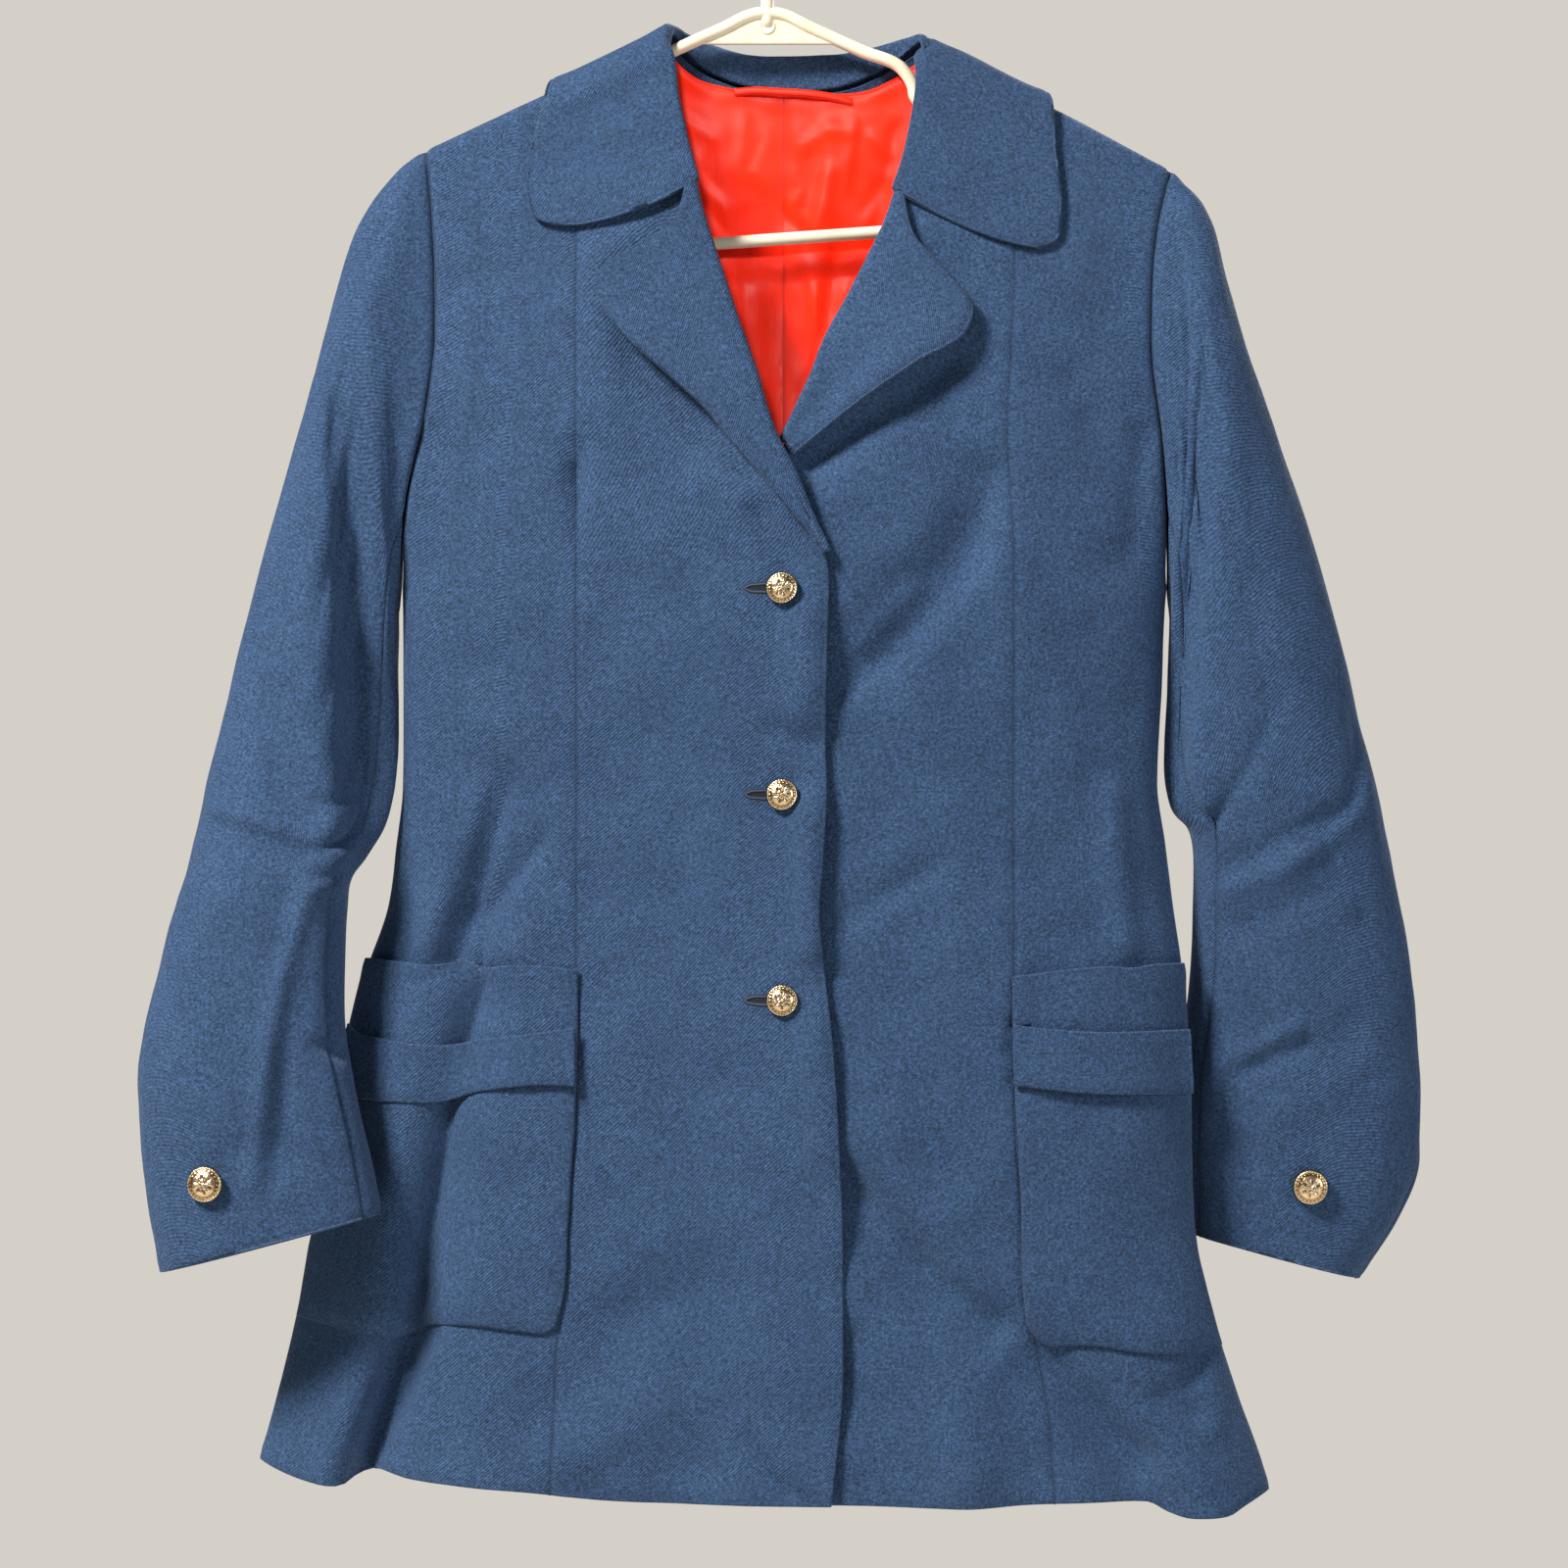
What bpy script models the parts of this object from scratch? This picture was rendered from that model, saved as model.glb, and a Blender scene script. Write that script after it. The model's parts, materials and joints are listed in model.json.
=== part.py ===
"""A long fitted blazer, buttoned right over left, hung on a white tubular hanger.

Tables are in millimetres and the scene is in metres. X runs to the wearer's left, Y to the back, Z up.
The origin is the point inside the top of the hook where a rod carries it.
"""

import math

import bpy
import numpy as np

MM = 0.001

# Cloth thicknesses and seams
OUTER = 1.8
DOUBLE = 2.4
LINING = 1.0
SEAM = 0.4
SURFACE_GAP = 0.3

# Body
NECK_ROUND = 8.0
SHOULDER_REACH = 120.0
SQUARENESS = 2.5
UNDERARM = -412.0
UNDERARM_SHARE = 0.62
CREST_SHARES = (
    0.006, 0.02, 0.045, 0.085, 0.14, 0.21, 0.29, 0.38, 0.47, 0.56, 0.65, 0.74, 0.83, 0.915,
)

# Buttons and buttonholes
BUTTON_RADIUS = 8.4
CUFF_BUTTON_RADIUS = 9.5
SHANK_RADIUS = 1.1
BUTTON_HEIGHTS = (-414.4, -522.0, -629.3)
BUTTON_X = -1.0
HOLE_CENTRE_X = -8.6
HOLE_HALF = (11.0, 1.5)
WELT_HALF = (13.0, 4.0)

# Hanger
HANGER_X = -9.0
TUBE_RADIUS = 3.4
HOOK_RADIUS = 22.4
ARM_SLOPE = 0.45
APEX_HEIGHT = -105.0
BAR_HEIGHT = -227.8
BAR_TILT = 0.07

# Silhouette of the body: height, right side, left side, front depth, back depth
BODY = (
    (-905.0, -285.0, 260.0, 52.0, 32.0),
    (-880.4, -279.8, 254.8, 51.0, 31.0),
    (-838.8, -268.6, 240.2, 49.0, 30.0),
    (-797.2, -258.5, 227.0, 48.0, 29.0),
    (-755.6, -250.7, 217.2, 47.0, 28.0),
    (-724.4, -243.0, 215.2, 46.0, 27.0),
    (-682.8, -236.0, 214.6, 45.0, 26.0),
    (-646.4, -229.6, 212.8, 43.0, 25.0),
    (-612.6, -220.4, 210.4, 41.0, 24.0),
    (-584.0, -210.2, 206.2, 39.0, 23.0),
    (-547.6, -205.0, 201.6, 38.0, 22.0),
    (-516.4, -201.6, 197.4, 38.0, 22.0),
    (-464.4, -201.4, 199.8, 41.0, 23.0),
    (-412.4, -201.8, 202.4, 44.0, 24.0),
    (-381.2, -206.0, 207.4, 44.0, 24.0),
    (-300.0, -212.0, 214.0, 42.0, 24.0),
    (-180.0, -216.0, 224.0, 36.0, 22.0),
    (-100.0, -216.0, 226.0, 30.0, 20.0),
)

# Shoulder line: distance from the centre, height
SHOULDER = (
    (-216.0, -196.0),
    (-189.8, -181.0),
    (-150.0, -162.3),
    (-109.5, -143.6),
    (-62.0, -122.0),
    (0.0, -101.0),
    (74.0, -126.0),
    (121.3, -148.0),
    (160.0, -167.5),
    (204.4, -191.4),
    (226.0, -206.0),
)

# Armhole edges: height, distance from the centre
ARMHOLE_RIGHT = (
    (-412.4, -201.8), (-381.2, -201.0), (-347.4, -195.0), (-318.8, -188.4),
    (-287.6, -184.6), (-256.4, -184.1), (-204.4, -187.2), (-181.0, -189.8),
)
ARMHOLE_LEFT = (
    (-412.4, 202.2), (-370.8, 201.6), (-329.2, 198.6), (-298.0, 194.4),
    (-266.8, 193.4), (-225.2, 196.6), (-191.4, 204.4),
)

# Princess seams: height, distance from the centre
PRINCESS_RIGHT = (
    (-900.0, -122.5), (-887.0, -121.8), (-843.8, -119.7), (-802.9, -117.7),
    (-787.0, -115.6), (-744.6, -112.1), (-675.0, -108.4), (-611.0, -108.5),
    (-414.0, -108.8), (-311.7, -109.2), (-143.6, -109.5),
)
PRINCESS_LEFT = (
    (-900.0, 141.5), (-887.0, 140.7), (-849.0, 138.2), (-810.6, 132.0),
    (-778.3, 126.0), (-735.9, 123.3), (-680.1, 120.2), (-611.0, 120.2),
    (-393.6, 120.2), (-362.9, 118.7), (-332.2, 116.9), (-286.1, 119.2),
    (-241.1, 121.3), (-148.0, 121.3),
)

# Inner edges of the fronts, from the hem up the closing edge, the roll and the neck: height, place
EDGE_RIGHT = (
    (-891.4, 24.5), (-822.4, 30.6), (-751.5, 30.4), (-717.8, 29.1), (-684.2, 27.5),
    (-650.0, 25.0), (-625.0, 22.4), (-604.6, 19.9), (-582.7, 18.2), (-559.2, 19.9),
    (-516.9, 22.2), (-491.9, 21.6), (-440.9, 22.4), (-410.3, 23.3), (-397.7, 21.5),
    (-384.3, 15.5), (-372.0, 9.6), (-358.6, 4.2), (-337.6, -7.1), (-297.0, -19.6),
    (-267.2, -30.3), (-233.3, -41.2), (-218.4, -46.0), (-199.5, -51.0), (-190.0, -53.4),
    (-176.0, -56.4), (-158.0, -60.0), (-140.0, -62.4), (-128.0, -63.2), (-122.0, -62.0),
)
EDGE_LEFT = (
    (-891.0, -24.0), (-420.0, -24.0), (-400.0, -22.0), (-370.0, -14.0), (-345.0, -3.0),
    (-332.0, 3.8), (-301.1, 18.4), (-284.1, 25.0), (-261.0, 37.4), (-233.3, 51.2),
    (-207.6, 61.5), (-194.0, 66.2), (-180.0, 70.2), (-163.0, 73.6), (-145.0, 75.6),
    (-132.0, 75.4), (-126.0, 74.0),
)

# Hems: distance from the centre, height
HEM_FRONT = (
    (-284.0, -870.5), (-275.8, -873.5), (-252.8, -881.2), (-232.8, -883.7), (-224.1, -878.6),
    (-210.3, -875.6), (-197.0, -878.6), (-171.4, -881.7), (-137.6, -884.3), (-92.1, -888.9),
    (-51.2, -890.4), (0.0, -891.4), (24.6, -891.4), (92.1, -893.0), (125.9, -891.4),
    (160.2, -890.9), (190.3, -891.9), (200.6, -897.0), (214.4, -900.6), (232.8, -899.6),
    (241.5, -895.5), (262.0, -886.5),
)
HEM_BACK = (
    (-284.0, -870.5), (-240.0, -879.5), (-180.0, -882.0), (0.0, -883.0), (180.0, -885.0),
    (262.0, -886.5),
)

# Neck seam of the back: distance from the centre, height
BACK_NECK = (
    (-62.0, -122.0), (-58.0, -126.5), (-48.0, -135.5), (-30.0, -144.5), (2.0, -149.5),
    (34.0, -147.0), (56.0, -137.5), (68.0, -130.0), (74.0, -126.0),
)

# Folds pressed into the body: start x, start z, end x, end z, height at start, at end, half width
FRONT_FOLDS = (
    (-130.0, -505.0, -152.0, -564.0, 0.0, -3.5, 11.0),
    (-152.0, -564.0, -157.0, -610.0, -3.5, -4.5, 10.0),
    (-157.0, -610.0, -179.0, -682.0, -4.5, -5.0, 12.0),
    (-179.0, -682.0, -197.0, -791.0, -5.0, -6.5, 13.0),
    (-197.0, -791.0, -218.0, -880.0, -6.5, -9.0, 14.0),
    (-190.0, -640.0, -232.0, -885.0, 1.0, 6.0, 20.0),
    (-150.0, -620.0, -150.0, -885.0, 1.0, 5.0, 26.0),
    (36.0, -712.0, 82.0, -762.0, 0.0, -3.5, 14.0),
    (82.0, -762.0, 140.0, -812.0, -3.5, -4.5, 18.0),
    (140.0, -812.0, 194.0, -895.0, -4.5, -8.5, 16.0),
    (172.0, -790.0, 228.0, -898.0, 0.0, 7.0, 18.0),
    (60.0, -800.0, 105.0, -890.0, 0.0, 4.0, 24.0),
    (95.0, -385.0, 22.0, -455.0, -2.5, 0.0, 14.0),
    (-109.0, -345.0, -109.0, -385.0, -3.0, 0.0, 9.0),
    (14.0, -565.0, 14.0, -600.0, 2.0, 2.0, 14.0),
)
BACK_FOLDS = (
    (-120.0, -560.0, -170.0, -885.0, -2.0, -8.0, 17.0),
    (-70.0, -600.0, -95.0, -885.0, 1.0, 6.0, 22.0),
    (60.0, -620.0, 80.0, -885.0, -1.5, -7.0, 16.0),
    (120.0, -560.0, 160.0, -885.0, 1.0, 7.0, 20.0),
    (0.0, -540.0, -12.0, -885.0, -1.0, -4.0, 12.0),
    (-130.0, -300.0, -60.0, -430.0, -3.0, -1.0, 14.0),
    (135.0, -310.0, 70.0, -450.0, -3.5, -0.5, 15.0),
)
LINING_FOLDS = (
    (-2.0, -150.0, -6.0, -330.0, -1.5, -1.0, 7.0),
    (26.0, -165.0, 12.0, -330.0, 1.5, 1.0, 6.0),
    (-34.0, -170.0, -22.0, -300.0, 1.2, 0.8, 6.0),
)

# Sleeve rings, shoulder to cuff: outer x, z, inner x, z, middle y, front, back, crease place, crease share
SLEEVE_RIGHT = (
    (-203.8, -191.9, -204.4, -420.2, 0.0, 20.0, 14.0, 0.10, 0.0),
    (-219.4, -210.6, -205.2, -426.9, 0.0, 24.0, 18.0, 0.10, 0.0),
    (-233.0, -239.7, -205.6, -437.3, 0.0, 27.0, 21.0, 0.10, 0.0),
    (-243.9, -282.4, -205.6, -451.4, 0.0, 29.0, 23.0, 0.14, 0.3),
    (-254.6, -324.1, -205.4, -466.0, -2.0, 30.0, 24.0, 0.32, 0.6),
    (-268.4, -373.6, -205.0, -484.2, -4.0, 30.0, 25.0, 0.47, 0.9),
    (-282.0, -423.1, -204.8, -503.4, -8.0, 30.0, 25.0, 0.58, 1.0),
    (-292.4, -470.8, -205.6, -519.5, -12.0, 30.0, 25.0, 0.66, 1.0),
    (-302.0, -512.2, -209.6, -536.0, -18.0, 30.0, 25.0, 0.75, 0.9),
    (-307.2, -542.1, -219.2, -553.4, -26.0, 30.0, 25.0, 0.88, 0.6),
    (-311.7, -564.1, -227.5, -566.2, -31.0, 30.0, 25.0, 0.95, 0.1),
    (-317.9, -583.0, -229.7, -583.0, -35.0, 29.0, 25.0, 0.95, 0.0),
    (-325.9, -613.6, -230.3, -611.0, -40.0, 28.0, 25.0, 0.95, 0.0),
    (-332.1, -644.1, -229.9, -640.0, -44.0, 28.0, 24.0, 0.95, 0.0),
    (-335.2, -672.0, -226.0, -665.3, -48.0, 27.0, 23.0, 0.95, 0.0),
    (-332.9, -702.4, -220.2, -692.2, -51.0, 26.0, 21.0, 0.95, 0.0),
    (-328.6, -732.9, -213.9, -717.6, -54.0, 25.0, 19.0, 0.95, 0.0),
    (-322.8, -769.9, -209.8, -739.4, -56.0, 24.0, 18.0, 0.95, 0.0),
)
SLEEVE_LEFT = (
    (212.7, -199.2, 204.6, -418.6, 0.0, 20.0, 14.0, 0.10, 0.0),
    (222.6, -212.2, 205.2, -425.4, 0.0, 24.0, 18.0, 0.10, 0.0),
    (231.9, -236.6, 205.4, -435.8, 0.0, 27.0, 21.0, 0.24, 0.3),
    (240.2, -272.0, 205.0, -448.8, 0.0, 29.0, 23.0, 0.49, 0.6),
    (251.7, -308.4, 204.6, -464.4, 0.0, 30.0, 24.0, 0.65, 0.9),
    (265.4, -347.2, 203.6, -482.5, 2.0, 30.0, 25.0, 0.74, 1.0),
    (281.0, -386.3, 202.4, -501.8, 2.0, 30.0, 25.0, 0.80, 1.0),
    (293.1, -430.5, 202.0, -516.4, 3.0, 30.0, 25.0, 0.82, 1.0),
    (300.1, -470.5, 205.2, -529.4, 5.0, 30.0, 25.0, 0.85, 0.9),
    (312.9, -511.1, 214.8, -538.3, 7.0, 29.0, 25.0, 0.93, 0.5),
    (319.4, -542.5, 218.7, -551.8, 9.0, 28.0, 25.0, 0.95, 0.0),
    (328.1, -584.3, 218.9, -581.7, 12.0, 27.0, 25.0, 0.95, 0.0),
    (333.8, -621.0, 218.1, -613.1, 15.0, 26.0, 24.0, 0.95, 0.0),
    (337.3, -652.5, 215.3, -642.1, 18.0, 25.0, 23.0, 0.95, 0.0),
    (339.7, -678.8, 212.8, -668.4, 20.0, 25.0, 22.0, 0.95, 0.0),
    (339.3, -705.1, 211.8, -694.6, 22.0, 25.0, 21.0, 0.95, 0.0),
    (337.8, -726.2, 211.9, -718.3, 24.0, 25.0, 20.0, 0.95, 0.0),
    (325.2, -753.5, 214.0, -739.3, 25.0, 24.0, 19.0, 0.95, 0.0),
    (306.9, -781.3, 216.1, -756.6, 26.0, 23.0, 18.0, 0.95, 0.0),
)
# Sleeve seams as angles round the ring, in degrees, armhole and cuff: back seam, front seam
SLEEVE_SEAMS = {"right": ((-28.0, -4.0), (132.0, 150.0)), "left": ((-28.0, 16.0), (132.0, 150.0))}

# Folds on the sleeves: share along at start, at end, share round at start, at end, height, half width
SLEEVE_FOLDS = {
    "right": (
        (0.40, 0.54, 0.10, 0.30, -3.0, 0.030),
        (0.43, 0.50, 0.48, 0.30, -3.0, 0.026),
        (0.52, 0.90, 0.34, 0.42, 3.0, 0.070),
        (0.30, 0.42, 0.20, 0.26, 1.8, 0.060),
    ),
    "left": (
        (0.56, 0.44, 0.44, 0.22, -3.0, 0.028),
        (0.50, 0.58, 0.06, 0.20, -2.5, 0.028),
        (0.05, 0.12, 0.16, 0.34, -2.2, 0.030),
        (0.55, 0.85, 0.26, 0.34, 2.5, 0.080),
    ),
}

# Collar stations from the right front end round the neck to the left front end:
# neck seam x, y, z, top of the roll x, y, z, outer edge x, y, z, droop of the middle.
# A y of None is read off the front under it.
COLLAR = (
    (-50.5, None, -199.5, -48.6, None, -199.0, -121.0, None, -222.6, 12.0),
    (-53.0, None, -190.0, -50.6, None, -189.4, -130.5, None, -219.2, 8.0),
    (-56.2, None, -176.0, -54.0, None, -175.0, -135.0, None, -208.0, 4.0),
    (-60.0, None, -158.0, -57.6, None, -156.0, -135.0, None, -190.0, 0.0),
    (-62.4, None, -140.0, -59.8, None, -138.0, -131.5, None, -172.0, 0.0),
    (-63.2, None, -128.5, -60.6, -6.0, -124.5, -126.4, None, -155.0, 0.0),
    (-61.0, 0.0, -120.6, -58.6, 0.5, -115.0, -122.6, 0.5, -144.8, 0.0),
    (-57.0, 6.5, -124.6, -53.0, 7.0, -117.0, -117.0, 12.5, -152.0, 0.0),
    (-47.0, 10.0, -134.6, -43.0, 10.5, -121.6, -104.0, 16.5, -168.0, 0.0),
    (-29.6, 12.2, -143.6, -27.0, 12.6, -126.6, -70.0, 20.0, -187.0, 0.0),
    (2.0, 13.2, -148.4, 2.0, 13.8, -128.8, 2.0, 21.5, -196.0, 0.0),
    (33.6, 12.2, -146.0, 32.0, 12.8, -127.6, 76.0, 20.0, -190.0, 0.0),
    (55.0, 9.8, -136.6, 52.0, 10.4, -123.6, 113.0, 16.5, -173.0, 0.0),
    (67.0, 6.4, -128.8, 64.4, 7.0, -120.0, 131.0, 12.5, -160.0, 0.0),
    (73.2, 0.0, -124.8, 71.4, 0.5, -119.4, 138.6, 0.5, -152.4, 0.0),
    (75.4, None, -132.6, 72.4, -6.0, -128.6, 142.2, None, -163.0, 0.0),
    (75.6, None, -145.0, 72.6, None, -143.0, 143.5, None, -180.0, 0.0),
    (73.6, None, -163.0, 71.0, None, -161.0, 145.5, None, -198.0, 0.0),
    (70.2, None, -180.0, 67.6, None, -179.0, 146.2, None, -215.0, 2.0),
    (66.2, None, -194.0, 63.6, None, -193.4, 143.5, None, -230.0, 6.0),
    (63.0, None, -203.6, 61.0, None, -203.0, 134.0, None, -235.0, 10.0),
)

# Lapels: the heights of the roll, the outer edge up to the tip and the notch edge out to it, as x, z
LAPEL_RIGHT = {
    "roll": (-396.0, -205.0),
    "outer": ((20.4, -397.6), (13.6, -387.0), (5.2, -377.4), (-4.1, -365.6), (-17.4, -348.6),
              (-27.6, -337.4), (-39.9, -322.1), (-60.0, -304.0), (-81.8, -283.7),
              (-95.6, -264.6), (-98.2, -254.5), (-96.1, -247.4)),
    "notch": ((-49.6, -205.0), (-58.6, -223.4), (-77.0, -234.4), (-96.1, -247.4)),
    "curl": 2.5,
}
LAPEL_LEFT = {
    "roll": (-330.0, -210.0),
    "outer": ((9.4, -337.0), (41.5, -316.4), (68.0, -298.0), (94.5, -280.4), (98.0, -272.0),
              (97.5, -264.6)),
    "notch": ((60.6, -210.0), (68.4, -230.0), (82.0, -246.0), (97.5, -264.6)),
    "curl": 1.9,
}

# Pockets: inner edge upwards, bottom edge from inner to outer, top edge, as x, z
POCKET_RIGHT = {
    "inner": ((-119.0, -798.5), (-115.9, -787.6), (-112.5, -745.0), (-108.4, -675.3),
              (-107.4, -644.5), (-107.7, -613.8)),
    "bottom": ((-119.0, -798.5), (-123.5, -801.9), (-137.9, -801.4), (-163.6, -798.6),
               (-182.0, -799.4), (-202.5, -805.0), (-223.0, -803.0), (-256.0, -796.8)),
    "top": ((-107.7, -613.8), (-133.3, -611.4), (-182.0, -610.7), (-219.0, -609.2)),
}
POCKET_LEFT = {
    "inner": ((127.0, -798.5), (124.6, -778.9), (123.6, -736.3), (120.5, -679.9), (119.3, -645.0),
              (119.0, -616.9)),
    "bottom": ((127.0, -798.5), (132.3, -806.0), (160.5, -809.6), (194.3, -814.8),
               (208.2, -815.3), (230.0, -812.7)),
    "top": ((119.0, -616.9), (145.1, -614.3), (174.8, -611.9), (209.2, -611.2)),
}
# Straps across the pockets: place, top height, bottom height
BAND_RIGHT = (
    (-229.0, -643.5, -678.5), (-223.3, -648.0, -680.7), (-211.5, -650.5, -682.5),
    (-181.8, -653.1, -683.3), (-152.6, -650.5, -677.5), (-122.9, -646.4, -673.8),
    (-108.1, -643.9, -674.1),
)
BAND_LEFT = (
    (118.6, -643.4, -674.1), (144.9, -645.4, -677.0), (174.6, -646.4, -679.2),
    (215.6, -645.9, -679.7),
)

# Tape loop at the back of the neck: x, height, how far it stands off the lining
LOOP = (
    (-26.5, -148.4, 0.1), (-16.0, -147.8, 1.6), (0.0, -148.6, 2.8), (14.0, -149.6, 2.6),
    (27.0, -151.4, 1.4), (36.4, -153.6, 0.1),
)
LOOP_THICK = 1.2

# Colour, roughness, metallic
WOOL = ("blue_wool", (0.045, 0.085, 0.19), 0.85, 0.0)
SATIN = ("red_satin", (0.75, 0.035, 0.012), 0.35, 0.0)
GOLD = ("gold_metal", (0.80, 0.56, 0.25), 0.3, 1.0)
PLASTIC = ("cream_plastic", (0.72, 0.66, 0.50), 0.4, 0.0)


def clear_scene():
    for obj in list(bpy.data.objects):
        bpy.data.objects.remove(obj, do_unlink=True)


def material(spec):
    name, colour, roughness, metallic = spec
    found = bpy.data.materials.get(name)
    if found:
        return found
    made = bpy.data.materials.new(name)
    made.use_nodes = True
    shader = made.node_tree.nodes["Principled BSDF"]
    shader.inputs["Base Color"].default_value = (*colour, 1.0)
    shader.inputs["Roughness"].default_value = roughness
    shader.inputs["Metallic"].default_value = metallic
    return made


def spline(keys, values, at, limited=False):
    """A smooth curve through the values at the keys. A limited one never overshoots them."""
    keys = np.asarray(keys, float)
    values = np.asarray(values, float)
    if values.ndim == 1:
        values = values[:, None]
    step = np.diff(keys)[:, None]
    slope = np.diff(values, axis=0) / step
    tangent = np.empty_like(values)
    tangent[0], tangent[-1] = slope[0], slope[-1]
    inner = (step[:-1] * slope[1:] + step[1:] * slope[:-1]) / (step[:-1] + step[1:])
    if limited:
        small = 3 * np.minimum(abs(slope[:-1]), abs(slope[1:]))
        inner = np.where(slope[:-1] * slope[1:] <= 0, 0.0, np.clip(inner, -small, small))
    tangent[1:-1] = inner
    at = np.clip(np.atleast_1d(np.asarray(at, float)), keys[0], keys[-1])
    cell = np.clip(np.searchsorted(keys, at) - 1, 0, len(keys) - 2)
    wide = step[cell]
    t = ((at - keys[cell]) / wide[:, 0])[:, None]
    return (
        values[cell] * (1 + 2 * t) * (1 - t) ** 2
        + tangent[cell] * wide * t * (1 - t) ** 2
        + values[cell + 1] * t * t * (3 - 2 * t)
        + tangent[cell + 1] * wide * t * t * (t - 1)
    )


def read(rows, at):
    """One column of a table read at any key, in the shape of the key."""
    rows = sorted(rows)
    at = np.asarray(at, float)
    found = spline([r[0] for r in rows], [r[1] for r in rows], at.ravel(), limited=True)
    return found[:, 0].reshape(at.shape)


def path(points, share):
    """Points along a smooth path at shares of its length."""
    points = np.asarray(points, float)
    run = np.concatenate([[0], np.cumsum(np.linalg.norm(np.diff(points, axis=0), axis=1))])
    return spline(run / run[-1], points, share)


def ease(low, high, value):
    t = np.clip((value - low) / (high - low), 0, 1)
    return t * t * (3 - 2 * t)


def side_of(x, z):
    """Half width of the body on the side that x lies on."""
    right = read([(r[0], -r[1]) for r in BODY], z)
    left = read([(r[0], r[2]) for r in BODY], z)
    return np.where(x < 0, right, left)


def shoulder_height(x):
    rows = np.array(SHOULDER)
    return np.interp(x, rows[:, 0], rows[:, 1])


def folds(rows, x, z):
    """Soft troughs and ridges, each fading past its two ends."""
    total = np.zeros_like(x)
    for x0, z0, x1, z1, start, end, half in rows:
        dx, dz = x1 - x0, z1 - z0
        length = math.hypot(dx, dz)
        share = ((x - x0) * dx + (z - z0) * dz) / length**2
        held = np.clip(share, 0, 1)
        away = np.hypot(x - x0 - held * dx, z - z0 - held * dz)
        total = total + (start + (end - start) * held) * np.exp(-((away / half) ** 2))
    return total


def body_y(face, x, z):
    """Y of the body's middle surface at a place seen from the front: face -1 is front, 1 is back."""
    x, z = np.broadcast_arrays(np.asarray(x, float), np.asarray(z, float))
    across = np.minimum(abs(x) / side_of(x, z), 1.0)
    section = (1 - across**SQUARENESS) ** (1 / SQUARENESS)
    below = np.maximum(shoulder_height(x) - z, 0.0)
    deep = read([(r[0], r[3] if face < 0 else r[4]) for r in BODY], z)
    cap = np.minimum(below, NECK_ROUND) / NECK_ROUND
    rise = NECK_ROUND * np.sqrt(1 - (1 - cap) ** 2)
    rise = rise + (deep - NECK_ROUND) * (1 - np.exp(-((below / SHOULDER_REACH) ** 1.1)))
    press = folds(FRONT_FOLDS if face < 0 else BACK_FOLDS, x, z)
    return face * np.maximum(rise * section + press * np.sqrt(section) * ease(0, 40, below), 0.3)


def lap(side, x, z):
    """The fronts' overlap: the right one lies outside the left one."""
    down = ease(-230, -300, z)
    if side == "right":
        return 4.0 * ease(-60, 10, x) * down
    return -2.2 * ease(60, -10, x) * down


def front_y(side, x, z):
    return body_y(-1, x, z) - lap(side, np.asarray(x, float), np.asarray(z, float))


def normals_of(y_of, face, x, z):
    """Outward normals of a surface given as Y over X and Z."""
    step = 0.4
    slope_x = (y_of(x + step, z) - y_of(x - step, z)) / (2 * step)
    slope_z = (y_of(x, z + step) - y_of(x, z - step)) / (2 * step)
    along_y = ease(0.3, 3.0, abs(y_of(x, z)))
    normal = np.stack([-slope_x, along_y, -slope_z], axis=-1) * face
    normal[..., 2] += 1e-6
    return normal / np.linalg.norm(normal, axis=-1, keepdims=True)


def lay(y_of, face, x, z, out=0.0):
    """Points of a surface moved out along its normals, and the normals."""
    normal = normals_of(y_of, face, x, z)
    middle = np.stack([x, y_of(x, z), z], axis=-1)
    out = np.asarray(out, float)
    return middle + normal * (out[..., None] if out.ndim else out), normal


def patch(inner, outer, bottom, top, across, along):
    """Places inside four edges: rows run from inner to outer, and go up from bottom to top."""
    u = np.asarray(across, float)[None, :, None]
    v = np.asarray(along, float)[:, None, None]
    i, o = inner[:, None, :], outer[:, None, :]
    b, t = bottom[None, :, :], top[None, :, :]
    corners = (1 - u) * (1 - v) * i[:1] + u * (1 - v) * o[:1] + (1 - u) * v * i[-1:] + u * v * o[-1:]
    return (1 - u) * i + u * o + (1 - v) * b + v * t - corners


def mesh_object(name, points, faces, spec, smooth=True):
    mesh = bpy.data.meshes.new(name)
    mesh.from_pydata([tuple(p * MM) for p in points], [], faces)
    corners = np.array([[f[0], f[k], f[k + 1]] for f in faces for k in range(1, len(f) - 1)])
    if np.linalg.det(np.asarray(points)[corners]).sum() < 0:
        mesh.flip_normals()
    for polygon in mesh.polygons:
        polygon.use_smooth = smooth
    mesh.materials.append(material(spec))
    obj = bpy.data.objects.new(name, mesh)
    bpy.context.scene.collection.objects.link(obj)
    return obj


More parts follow.
